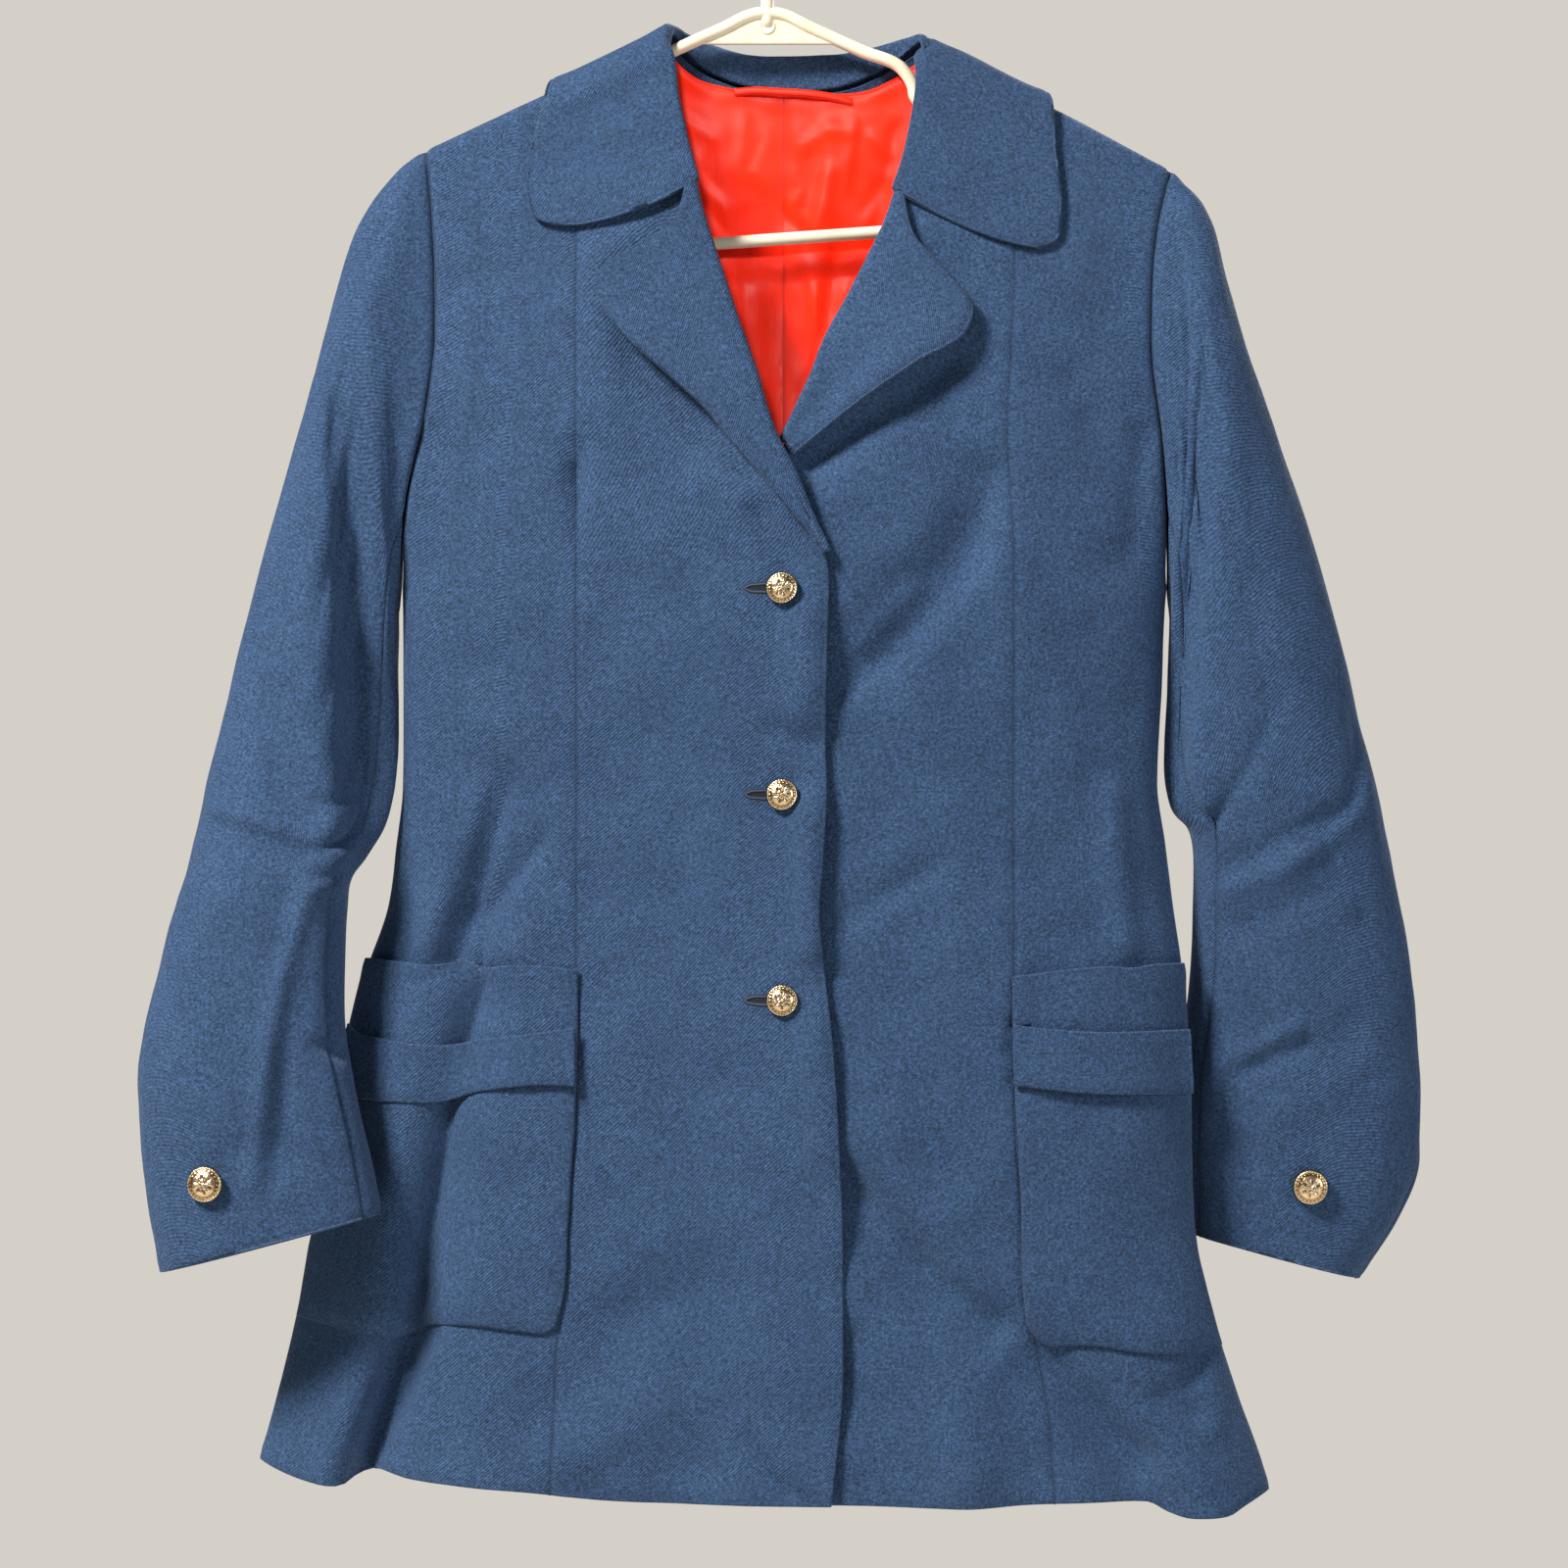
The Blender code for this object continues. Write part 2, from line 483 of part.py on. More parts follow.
def slab(name, middle, normal, thick, spec, ring=False):
    """A sheet of even thickness from rows of middle points. A ring joins its last row to its first."""
    rows, columns = middle.shape[:2]
    half = np.asarray(thick, float) / 2
    if half.ndim:
        half = half[..., None]
    points = np.concatenate([middle + normal * half, middle - normal * half]).reshape(-1, 3)
    under = rows * columns

    def at(r, c):
        return (r % rows) * columns + c

    faces = []
    for r in range(rows if ring else rows - 1):
        for c in range(columns - 1):
            a, b, d, e = at(r, c), at(r, c + 1), at(r + 1, c + 1), at(r + 1, c)
            faces.append((a, b, d))
            faces.append((a, d, e))
            faces.append((b + under, a + under, d + under))
            faces.append((d + under, a + under, e + under))
        for c in (0, columns - 1):
            a, b = at(r, c), at(r + 1, c)
            rim = (a, b, b + under, a + under)
            faces.append(rim if c == 0 else rim[::-1])
    if not ring:
        for r in (0, rows - 1):
            for c in range(columns - 1):
                a, b = at(r, c), at(r, c + 1)
                rim = (b, a, a + under, b + under)
                faces.append(rim if r == 0 else rim[::-1])
    return mesh_object(name, points, faces, spec)


def grid_normals(points, towards):
    """Normals of rows of points, turned to the side that the given direction looks to."""
    normal = np.cross(np.gradient(points, axis=1), np.gradient(points, axis=0))
    normal /= np.maximum(np.linalg.norm(normal, axis=-1, keepdims=True), 1e-9)
    middle = normal[normal.shape[0] // 2, normal.shape[1] // 2]
    return normal if np.dot(middle, towards) > 0 else -normal


def spread(count, power=1.0):
    """Shares from 0 to 1 that crowd towards 1 for a power over 1."""
    return 1 - (1 - np.linspace(0, 1, count)) ** power


def rows_of_body(below):
    """Shares of the height, closer together towards the shoulder."""
    upper = 1 - (1 - UNDERARM_SHARE) * np.array(CREST_SHARES)[::-1]
    return np.concatenate([np.linspace(0, UNDERARM_SHARE, below), upper, [1.0]])


def heights(along, low, middle, high):
    return np.interp(along, [0, UNDERARM_SHARE, 1], [low, middle, high])


def on_curve(rows, at):
    return np.stack([at, read(rows, at)], axis=-1)


def edge_curve(rows, z, shift=0.0):
    return np.stack([read(rows, z) + shift, z], axis=-1)


def outer_curve(side, along, hem_z, top_z):
    """The side seam up to the underarm, then the armhole edge."""
    sign = -1 if side == "right" else 1
    armhole = ARMHOLE_RIGHT if side == "right" else ARMHOLE_LEFT
    z = heights(along, hem_z, UNDERARM, top_z)
    x = np.where(z <= UNDERARM, sign * side_of(np.full_like(z, sign), z), read(armhole, z))
    return np.stack([x, z], axis=-1)


def side_hem(side, hem):
    """Where the side seam meets the hem."""
    sign = -1 if side == "right" else 1
    z = -880.0
    for _ in range(8):
        x = float(sign * side_of(np.array(float(sign)), np.array(z)))
        z = float(read(hem, np.array(x)))
    return x, z


def front_panels(side, columns, side_columns, below):
    sign = -1 if side == "right" else 1
    edge = EDGE_RIGHT if side == "right" else EDGE_LEFT
    princess = PRINCESS_RIGHT if side == "right" else PRINCESS_LEFT
    armhole = sorted(ARMHOLE_RIGHT if side == "right" else ARMHOLE_LEFT)
    point_z, point_x = armhole[-1]
    along = rows_of_body(below)

    def y_of(x, z):
        return front_y(side, x, z)

    hem_in = edge[0][1]
    hem_seam = float(read(princess, np.array(-888.0)))
    neck_x, neck_z = sorted(edge)[-1][1], sorted(edge)[-1][0]
    seam_top = PRINCESS_RIGHT[-1] if side == "right" else PRINCESS_LEFT[-1]

    def seam_curve(shift):
        z = heights(along, float(read(HEM_FRONT, np.array(hem_seam))), UNDERARM + 4, seam_top[0])
        return edge_curve(princess, z, shift)

    u = spread(columns, 1.0)
    z_in = heights(along, float(read(HEM_FRONT, np.array(hem_in))), UNDERARM + 4, neck_z)
    inner = edge_curve(edge, z_in)
    outer = seam_curve(-sign * SEAM / 2)
    x_bottom = inner[0, 0] + (outer[0, 0] - inner[0, 0]) * u
    x_top = neck_x + (outer[-1, 0] - neck_x) * u
    centre = patch(
        inner, outer, on_curve(HEM_FRONT, x_bottom),
        np.stack([x_top, shoulder_height(x_top)], axis=-1), u, along,
    )
    u = spread(side_columns, 1.35)
    inner = seam_curve(sign * SEAM / 2)
    side_x, side_z = side_hem(side, HEM_FRONT)
    outer = outer_curve(side, along, side_z, point_z)
    x_bottom = inner[0, 0] + (side_x - inner[0, 0]) * u
    x_top = inner[-1, 0] + (point_x - inner[-1, 0]) * u
    flank = patch(
        inner, outer, on_curve(HEM_FRONT, x_bottom),
        np.stack([x_top, shoulder_height(x_top)], axis=-1), u, along,
    )
    return (
        slab("front_" + side, *lay(y_of, -1, centre[..., 0], centre[..., 1]), OUTER, WOOL),
        slab("side_front_" + side, *lay(y_of, -1, flank[..., 0], flank[..., 1]), OUTER, WOOL),
    )


def back_grid(side, columns, below, inset=0.0, drop=0.0, hem_up=0.0):
    """Places of a back piece, from the centre seam to the side seam and armhole."""
    sign = -1 if side == "right" else 1
    armhole = sorted(ARMHOLE_RIGHT if side == "right" else ARMHOLE_LEFT)
    point_z, point_x = armhole[-1]
    along = rows_of_body(below)
    u = spread(columns, 1.6)
    side_z = side_hem(side, HEM_BACK)[1]
    neck = float(read(BACK_NECK, np.array(0.0)))
    neck_share = (BACK_NECK[0][0] if side == "right" else BACK_NECK[-1][0]) / point_x
    u[abs(u - neck_share).argmin()] = neck_share
    u = np.sort(np.append(u, neck_share * 0.91))
    z_in = heights(along, float(read(HEM_BACK, np.array(0.0))) + hem_up, UNDERARM - 10, neck)
    inner = np.stack([np.full_like(z_in, sign * SEAM / 2), z_in], axis=-1)
    outer = outer_curve(side, along, side_z + hem_up, point_z - drop)
    outer[:, 0] -= sign * inset
    x_bottom = inner[0, 0] + (outer[0, 0] - inner[0, 0]) * u
    x_top = inner[-1, 0] + (outer[-1, 0] - inner[-1, 0]) * u
    z_top = np.where(
        (x_top > -62.0) & (x_top < 74.0), read(BACK_NECK, x_top) - drop * 0.4 * ease(20, 55, abs(x_top)),
        shoulder_height(x_top) - drop,
    )
    bottom = on_curve(HEM_BACK, x_bottom) + [0, hem_up]
    return patch(inner, outer, bottom, np.stack([x_top, z_top], axis=-1), u, along)


def back_panel(side, columns, below):
    places = back_grid(side, columns, below)
    middle, normal = lay(lambda x, z: body_y(1, x, z), 1, places[..., 0], places[..., 1])
    return slab("back_" + side, middle, normal, OUTER, WOOL)


def lining_depth(x, z):
    """How far the lining lies inside the back."""
    return 2.4 + ease(20, 80, shoulder_height(x) - z) * (2.6 + folds(LINING_FOLDS, x, z))


def lining_panel(side, columns, below):
    places = back_grid(side, columns, below, inset=9.0, drop=12.0, hem_up=22.0)
    x, z = places[..., 0], places[..., 1]
    middle, normal = lay(lambda a, b: body_y(1, a, b), 1, x, z)
    inside = lining_depth(x, z)[..., None]
    return slab("lining_back_" + side, middle - normal * inside, normal, LINING, SATIN)


def sleeve_ring_points(side, degrees):
    """The rings of a sleeve as rows of points, the armhole first, at angles round the sleeve."""
    sign = -1 if side == "right" else 1
    armhole = ARMHOLE_RIGHT if side == "right" else ARMHOLE_LEFT
    rings = SLEEVE_RIGHT if side == "right" else SLEEVE_LEFT
    angle = np.radians(degrees)
    share = (1 - np.cos(angle)) / 2
    front = np.sin(angle) >= 0
    top = sorted(armhole)[-1][0]
    z = top + (UNDERARM + 1.6 - top) * share
    x = read(armhole, z)
    y = np.where(front, front_y(side, x, z), body_y(1, x, z)) * np.minimum(1, abs(np.sin(angle)) * 3)
    x = x + sign * (0.9 + 2.2 * share**6)
    rows = [np.stack([x, y, z], axis=-1)]
    for ox, oz, ix, iz, mid, deep_front, deep_back, crease, amount in rings:
        bulge = (1 - abs(2 * share - 1) ** 2.2) ** (1 / 2.2)
        tuck = 1 - 0.78 * amount * ease(crease, crease + 0.09, share)
        y = mid + np.where(front, -deep_front * bulge * tuck, deep_back * bulge)
        rows.append(np.stack([ox + (ix - ox) * share, y, oz + (iz - oz) * share], axis=-1))
    return np.array(rows)


def sleeve_points(side, degrees_at, ring_shares):
    """A sleeve's points: rows along it, columns round it at angles that may change along it."""
    rings = len(SLEEVE_RIGHT if side == "right" else SLEEVE_LEFT) + 1
    keys = np.linspace(0, 1, rings)
    rows = []
    for share in ring_shares:
        degrees = degrees_at(share)
        spots = sleeve_ring_points(side, degrees)
        rows.append(spline(keys, spots.reshape(rings, -1), [share])[0].reshape(-1, 3))
    return np.array(rows)


def sleeve_grid(side, low_seam, high_seam, columns, ring_shares):
    """Points of part of a sleeve between two seams, their outward normals and the folds pressed in."""
    sign = -1 if side == "right" else 1

    def degrees_at(share, turn=0.0):
        return turn + np.linspace(
            low_seam[0] + (low_seam[1] - low_seam[0]) * share,
            high_seam[0] + (high_seam[1] - high_seam[0]) * share,
            columns,
        )

    shares = np.asarray(ring_shares, float)
    points = sleeve_points(side, degrees_at, shares)
    round_it = sleeve_points(side, lambda s: degrees_at(s, 3.0), shares)
    round_it = round_it - sleeve_points(side, lambda s: degrees_at(s, -3.0), shares)
    ahead = sleeve_points(side, degrees_at, np.minimum(shares + 0.008, 1))
    ahead = ahead - sleeve_points(side, degrees_at, np.maximum(shares - 0.008, 0))
    normal = np.cross(round_it, ahead) * sign
    normal /= np.linalg.norm(normal, axis=-1, keepdims=True)
    degrees = np.array([degrees_at(s) for s in shares])
    rim = points[0]
    face = np.where(np.sin(np.radians(degrees[0])) >= 0, -1, 1)
    for f in (-1, 1):
        body = normals_of(lambda x, z: body_y(f, x, z), f, rim[:, 0], rim[:, 2])
        low = ease(-380.0, -405.0, rim[:, 2])[:, None]
        mixed = body * (1 - low) + normal[0] * low
        mixed /= np.linalg.norm(mixed, axis=-1, keepdims=True)
        normal[0] = np.where((face == f)[:, None], mixed, normal[0])
    along = np.asarray(ring_shares)[:, None]
    press = np.zeros_like(degrees)
    for a0, a1, r0, r1, high, half in SLEEVE_FOLDS[side]:
        share = np.clip((along - a0) / (a1 - a0), 0, 1)
        off_round = degrees / 360 - (r0 + (r1 - r0) * share)
        off_along = along - (a0 + (a1 - a0) * share)
        press = press + high * np.exp(-(off_round**2 + off_along**2) / half**2)
    return points, normal, press


def sleeve(side, columns, under_columns, ring_shares):
    back_seam, front_seam = SLEEVE_SEAMS[side]
    half_gap = 1.0
    top_low = (back_seam[0] + half_gap, back_seam[1] + half_gap)
    top_high = (front_seam[0] - half_gap, front_seam[1] - half_gap)
    points, normal, press = sleeve_grid(side, top_low, top_high, columns, ring_shares)
    slab("top_sleeve_" + side, points + normal * press[..., None], normal, OUTER, WOOL)
    under_low = (front_seam[0] + half_gap, front_seam[1] + half_gap)
    under_high = (back_seam[0] + 360 - half_gap, back_seam[1] + 360 - half_gap)
    points, normal, press = sleeve_grid(side, under_low, under_high, under_columns, ring_shares)
    slab("under_sleeve_" + side, points, normal, OUTER, WOOL)


def body_samples():
    """Points and outward normals over the upper body, close together at the shoulder's crest."""
    below = 0.05 + 113.0 * np.linspace(0, 1, 22) ** 2.1
    across, below = np.meshgrid(np.linspace(-160, 170, 111), below)
    height = shoulder_height(across) - below
    found = [lay(lambda x, z: body_y(f, x, z), f, across, height) for f in (-1, 1)]
    spots = np.concatenate([p.reshape(-1, 3) for p, _ in found])
    return spots, np.concatenate([n.reshape(-1, 3) for _, n in found])


def kept_off(points, samples, clear):
    """Points moved off the body's middle surface so that they stand clear of it, most so over its crest."""
    spots, normals = samples
    points = points.copy()
    for _ in range(3):
        for i, point in enumerate(points):
            near = ((spots - point) ** 2).sum(axis=1).argmin()
            short = clear + 2.2 * ease(14, 4, abs(point[1])) - np.dot(point - spots[near], normals[near])
            if short > 0:
                points[i] = point + normals[near] * short
    return points


def collar(fall_points):
    rows = []
    for row in COLLAR:
        side = "right" if row[0] < 0 else "left"
        spots = []
        for k, clear in ((0, 0.0), (3, 0.0), (6, 3.4)):
            x, y, z = row[k:k + 3]
            if y is None:
                y = float(front_y(side, np.array(x), np.array(z))) - clear
            spots += [x, y, z]
        rows.append(spots + [row[9]])
    rows = np.array(rows)
    run = np.concatenate([[0], np.cumsum(np.linalg.norm(np.diff(rows[:, 3:9], axis=0), axis=1))])
    run /= run[-1]
    at = spline(run, rows, np.sort(np.concatenate([run, (run[3:17] + run[4:18]) / 2])))
    seam, roll, edge, droop = at[:, 0:3], at[:, 3:6], at[:, 6:9], at[:, 9]
    up = roll - seam
    up /= np.linalg.norm(up, axis=1, keepdims=True)
    samples = body_samples()
    out = np.array([samples[1][((samples[0] - spot) ** 2).sum(axis=1).argmin()] for spot in seam])
    out = out + 0.3 * (edge - roll) / np.linalg.norm(edge - roll, axis=1, keepdims=True)
    out[1:-1] = (out[:-2] + out[1:-1] + out[2:]) / 3
    out = out - (out * up).sum(axis=1, keepdims=True) * up
    out /= np.linalg.norm(out, axis=1, keepdims=True)
    radius = 2.3
    tall = np.maximum(((roll - seam) * up).sum(axis=1, keepdims=True) - radius, 2.6)
    foot = seam + up * tall
    lines = [seam + up * 2.0, seam + up * (2.2 + tall) / 2]
    for turn in np.radians((-80, -27, 27, 80)):
        lines.append(foot + up * radius * math.cos(turn) + out * radius * (1 + math.sin(turn)))
    start = lines[-1]
    reach = np.linalg.norm(edge - start, axis=1, keepdims=True)
    middle = (start + edge) / 2 - up * reach * 0.12
    middle[:, 2] -= droop
    for t in np.linspace(0, 1, fall_points)[1:]:
        point = start * (1 - t) ** 2 + middle * 2 * t * (1 - t) + edge * t * t
        lines.append(kept_off(point, samples, 3.4))
    points = np.stack(lines, axis=1)
    return slab("collar", points, grid_normals(points, (0, 1, 0)), DOUBLE, WOOL)


def lapel(side, rows, columns):
    shape = LAPEL_RIGHT if side == "right" else LAPEL_LEFT
    sign = -1 if side == "right" else 1
    along = np.linspace(0, 1, rows)
    across = np.linspace(0, 1, columns)
    low, high = shape["roll"]
    roll = edge_curve(EDGE_RIGHT if side == "right" else EDGE_LEFT, low + (high - low) * along)
    outer = path(shape["outer"], along)
    notch = path(shape["notch"], across)
    foot = outer[0] * across[:, None] + roll[0] * (1 - across[:, None])
    places = patch(roll, outer, foot, notch, across, along)
    radius = shape["curl"] * (0.6 + 0.4 * ease(0, 0.2, along))

    def y_of(x, z):
        return front_y(side, x, z)

    base, normal = lay(y_of, -1, roll[:, 0], roll[:, 1])
    run = np.gradient(base, axis=0)
    run /= np.linalg.norm(run, axis=1, keepdims=True)
    inward = np.cross(normal, run)
    inward *= np.where(inward[:, :1] * -sign > 0, 1, -1)
    lines = []
    for turn in np.radians((-90, -30, 30, 90)):
        lift = (radius * (1 + math.sin(turn)))[:, None]
        lines.append(base + inward * (1.0 + radius * math.cos(turn))[:, None] + normal * lift)
    near = (2 * radius)[:, None]
    clear = near + (3.1 - near) * ease(0.1, 0.7, across)[None, :]
    clear = clear + 1.6 * np.sin(np.pi * across)[None, :] * ease(0.2, 0.6, along)[:, None]
    flat, _ = lay(y_of, -1, places[..., 0], places[..., 1], clear)
    points = np.concatenate([np.stack(lines, axis=1), flat[:, 1:]], axis=1)
    return slab("lapel_" + side, points, grid_normals(points, (0, -1, 0)), DOUBLE, WOOL)


def pocket_places(side, across, along):
    shape = POCKET_RIGHT if side == "right" else POCKET_LEFT
    sign = -1 if side == "right" else 1
    inner = path(shape["inner"], along)
    z = np.interp(along, [0, 1], [shape["bottom"][-1][1], shape["top"][-1][1]])
    outer = np.stack([sign * side_of(np.full_like(z, sign), z) * 0.987, z], axis=-1)
    bottom = path(shape["bottom"], across)
    top = path(shape["top"], across)
    bottom[-1], top[-1] = outer[0], outer[-1]
    return patch(inner, outer, bottom, top, across, along)


def pocket_stand(across, along):
    """How far a pocket swells from the front under it."""
    return 2.2 * np.sin(np.pi * across) ** 0.8 * (0.35 + 0.65 * along)


def pocket(side, columns, rows):
    across, along = spread(columns, 1.3), np.linspace(0, 1, rows)
    places = pocket_places(side, across, along)
    stand = pocket_stand(across[None, :], along[:, None])
    middle, normal = lay(
        lambda x, z: front_y(side, x, z), -1, places[..., 0], places[..., 1], OUTER + 1.6 + stand
    )
    return slab("pocket_" + side, middle, normal, OUTER, WOOL)


def pocket_band(side, columns, rows):
    table = np.array(BAND_RIGHT if side == "right" else BAND_LEFT)
    order = np.argsort(-table[:, 0]) if side == "right" else np.argsort(table[:, 0])
    table = table[order]
    across, along = spread(columns, 1.3), np.linspace(0, 1, rows)
    sign = -1 if side == "right" else 1
    x = table[0, 0] + (table[-1, 0] - table[0, 0]) * across
    top = read([(r[0], r[1]) for r in table], x)
    low = read([(r[0], r[2]) for r in table], x)
    z = low[None, :] + (top - low)[None, :] * along[:, None]
    last = sign * side_of(np.full_like(z, sign), z) * 0.984
    x = table[0, 0] + (last - table[0, 0]) * across[None, :]
    shape = POCKET_RIGHT if side == "right" else POCKET_LEFT
    up = (z - shape["inner"][0][1]) / (shape["inner"][-1][1] - shape["inner"][0][1])
    stand = pocket_stand(np.broadcast_to(across, z.shape), up)
    bow = 3.2 * np.sin(np.pi * across) ** 0.7
    middle, normal = lay(
        lambda a, b: front_y(side, a, b), -1, x, z, 2 * OUTER + 2.0 + stand + bow[None, :]
    )
    return slab("pocket_band_" + side, middle, normal, OUTER, WOOL)


def frame_at(normal):
    normal = np.asarray(normal, float)
    right = np.cross(normal, (0, 0, 1))
    right /= np.linalg.norm(right)
    return right, np.cross(right, normal), normal


def button(name, centre, normal, radius, shank_length, segments=12):
    """A domed metal button with a rim, a six-petal rosette and a shank. The centre is on its back face."""
    right, up, out = frame_at(normal)
    profile = (
        (SHANK_RADIUS, -shank_length, 0.0), (SHANK_RADIUS, 0.0, 0.0), (radius * 0.86, 0.2, 0.0),
        (radius, 1.1, 0.0), (radius * 0.97, 2.0, 0.0), (radius * 0.84, 2.5, 0.0),
        (radius * 0.74, 2.5, 0.0), (radius * 0.54, 3.6, 0.35), (radius * 0.30, 4.2, 0.35),
        (radius * 0.12, 4.6, 0.0),
    )
    points, faces = [], []
    for r, high, relief in profile:
        for k in range(segments):
            turn = 2 * math.pi * k / segments
            lift = high + relief * math.cos(6 * turn)
            points.append(centre + right * r * math.cos(turn) + up * r * math.sin(turn) + out * lift)
    for ring in range(len(profile) - 1):
        for k in range(segments):
            a, b = ring * segments + k, ring * segments + (k + 1) % segments
            faces.append((a, b, b + segments, a + segments))
    faces.append(tuple(range(segments))[::-1])
    last = (len(profile) - 1) * segments
    faces.append(tuple(range(last, last + segments)))
    return mesh_object(name, np.array(points), faces, GOLD)


def rounded_loop(half, power, count):
    turn = 2 * math.pi * (np.arange(count) + 0.5) / count
    c, s = np.cos(turn), np.sin(turn)
    x = np.sign(c) * abs(c) ** (2 / power) * half[0]
    z = np.sign(s) * abs(s) ** (2 / power) * half[1]
    return np.stack([x, z], axis=-1)


def buttonhole(index, height):
    """The bound edge of a buttonhole, with its slot, set in a window of the right front."""
    outer = rounded_loop(WELT_HALF, 6, 20)
    inner = rounded_loop(HOLE_HALF, 3, 20)
    rows = np.stack([outer, inner], axis=1) + [HOLE_CENTRE_X, height]
    middle, normal = lay(lambda x, z: front_y("right", x, z), -1, rows[..., 0], rows[..., 1], 0.15)
    return slab("buttonhole_%d" % index, middle, normal, OUTER + 0.5, WOOL, ring=True)


def window_cutter(index, height):
    half_x, half_z = WELT_HALF[0] + 0.4, WELT_HALF[1] + 0.4
    y = float(front_y("right", np.array(HOLE_CENTRE_X), np.array(height)))
    points = np.array([
        (HOLE_CENTRE_X + sx * half_x, y + sy * 9, height + sz * half_z)
        for sx in (-1, 1) for sy in (-1, 1) for sz in (-1, 1)
    ])
    faces = [(0, 1, 3, 2), (4, 6, 7, 5), (0, 4, 5, 1), (2, 3, 7, 6), (0, 2, 6, 4), (1, 5, 7, 3)]
    cutter = mesh_object("window_cutter_%d" % index, points, faces, WOOL, smooth=False)
    cutter.hide_render = True
    cutter.display_type = "WIRE"
    return cutter


def add_boolean(obj, other, operation):
    modifier = obj.modifiers.new("cut_" + other.name, "BOOLEAN")
    modifier.operation = operation
    modifier.solver = "EXACT"
    modifier.object = other


def tube(name, centre_line, radius, closed, segments=6):
    """A round tube along a path in the XZ plane."""
    line = np.asarray(centre_line, float)
    ahead = np.roll(line, -1, axis=0) - np.roll(line, 1, axis=0)
    if not closed:
        ahead[0], ahead[-1] = line[1] - line[0], line[-1] - line[-2]
    ahead /= np.linalg.norm(ahead, axis=1, keepdims=True)
    aside = np.stack([-ahead[:, 1], ahead[:, 0]], axis=-1)
    points, faces = [], []
    for spot, side in zip(line, aside):
        for k in range(segments):
            turn = 2 * math.pi * (k + 0.5) / segments
            flat = spot + side * radius * math.cos(turn)
            points.append((flat[0], radius * math.sin(turn), flat[1]))
    count = len(line)
    for i in range(count if closed else count - 1):
        for k in range(segments):
            a, b = i * segments + k, i * segments + (k + 1) % segments
            c = ((i + 1) % count) * segments
            faces.append((a, b, c + (k + 1) % segments, c + k))
    if not closed:
        faces.append(tuple(range(segments))[::-1])
        faces.append(tuple(range((count - 1) * segments, count * segments)))
    return mesh_object(name, np.array(points), faces, PLASTIC)


def hanger_half(sign):
    """Half of the hanger's outline from the apex to the middle of the bar, which is a little tilted."""
    arm = [(5.0, APEX_HEIGHT - 2.6)]
    for d in (24, 50, 72):
        arm.append((d, APEX_HEIGHT - ARM_SLOPE * d))
    arm += [(77.5, -146.0), (79.0, -152.5), (83.0, -155.4), (87.0, -153.5), (89.5, -149.4)]
    arm.append((95.0, -148.4))
    for d in (120, 150, 172):
        arm.append((d, APEX_HEIGHT - ARM_SLOPE * d - 0.4))
    arm += [(178.0, -188.6), (183.0, -197.0), (183.4, -207.5), (179.0, -218.0), (170.0, -225.4)]
    arm += [(158.0, BAR_HEIGHT), (100.0, BAR_HEIGHT), (40.0, BAR_HEIGHT)]
    return [
        (HANGER_X + sign * d, z + sign * d * BAR_TILT * float(ease(-186, -224, z))) for d, z in arm
    ]


def hanger():
    outline = hanger_half(-1) + hanger_half(1)[::-1]
    frame = tube("hanger", outline, TUBE_RADIUS, closed=True)
    hook = [(HANGER_X, -112.0), (HANGER_X, -90.0), (HANGER_X, -68.0), (HANGER_X - 0.4, -56.0),
            (HANGER_X - 2.4, -46.5)]
    for degrees in range(222, -21, -14):
        turn = math.radians(degrees)
        height = TUBE_RADIUS - HOOK_RADIUS + HOOK_RADIUS * math.sin(turn)
        hook.append((HOOK_RADIUS * math.cos(turn), height))
    stem = tube("hanger_hook_helper", hook, TUBE_RADIUS * 0.99, closed=False, segments=10)
    corners = ((HANGER_X, -106.0), (HANGER_X - 44.0, -123.4), (HANGER_X + 44.0, -123.4))
    points = np.array([(x, y, z) for y in (-1.4, 1.4) for x, z in corners])
    faces = [(0, 1, 2), (5, 4, 3), (0, 3, 4, 1), (1, 4, 5, 2), (2, 5, 3, 0)]
    web = mesh_object("hanger_web_helper", points, faces, PLASTIC, smooth=False)
    for helper in (stem, web):
        helper.hide_render = True
        helper.display_type = "WIRE"
        add_boolean(frame, helper, "UNION")


def hanger_loop():
    """The narrow red tape loop at the back of the neck, its ends on the lining."""
    line = np.array(LOOP)
    behind = body_y(1, line[:, 0], line[:, 1]) - lining_depth(line[:, 0], line[:, 1])
    y = behind - LINING / 2 - SURFACE_GAP - LOOP_THICK / 2 - line[:, 2]
    centre = path(np.stack([line[:, 0], y, line[:, 1]], axis=-1), np.linspace(0, 1, 10))
    normal = np.tile((0.0, -1.0, 0.0), (10, 1))
    rows = np.stack([centre + (0, 0, h) for h in (-2.0, 2.0)], axis=1)
    slab("hanger_loop", rows, np.stack([normal, normal], axis=1), LOOP_THICK, SATIN)


def sleeve_spot(side, x, z):
    """The point and normal on the front of a sleeve that is seen at a place."""
    shares = np.linspace(0.6, 1.0, 90)
    points, normal, press = sleeve_grid(side, (4.0, 4.0), (150.0, 150.0), 80, shares)
    points = points + normal * press[..., None]
    away = np.hypot(points[..., 0] - x, points[..., 2] - z)
    spot = np.unravel_index(away.argmin(), away.shape)
    return points[spot], normal[spot]


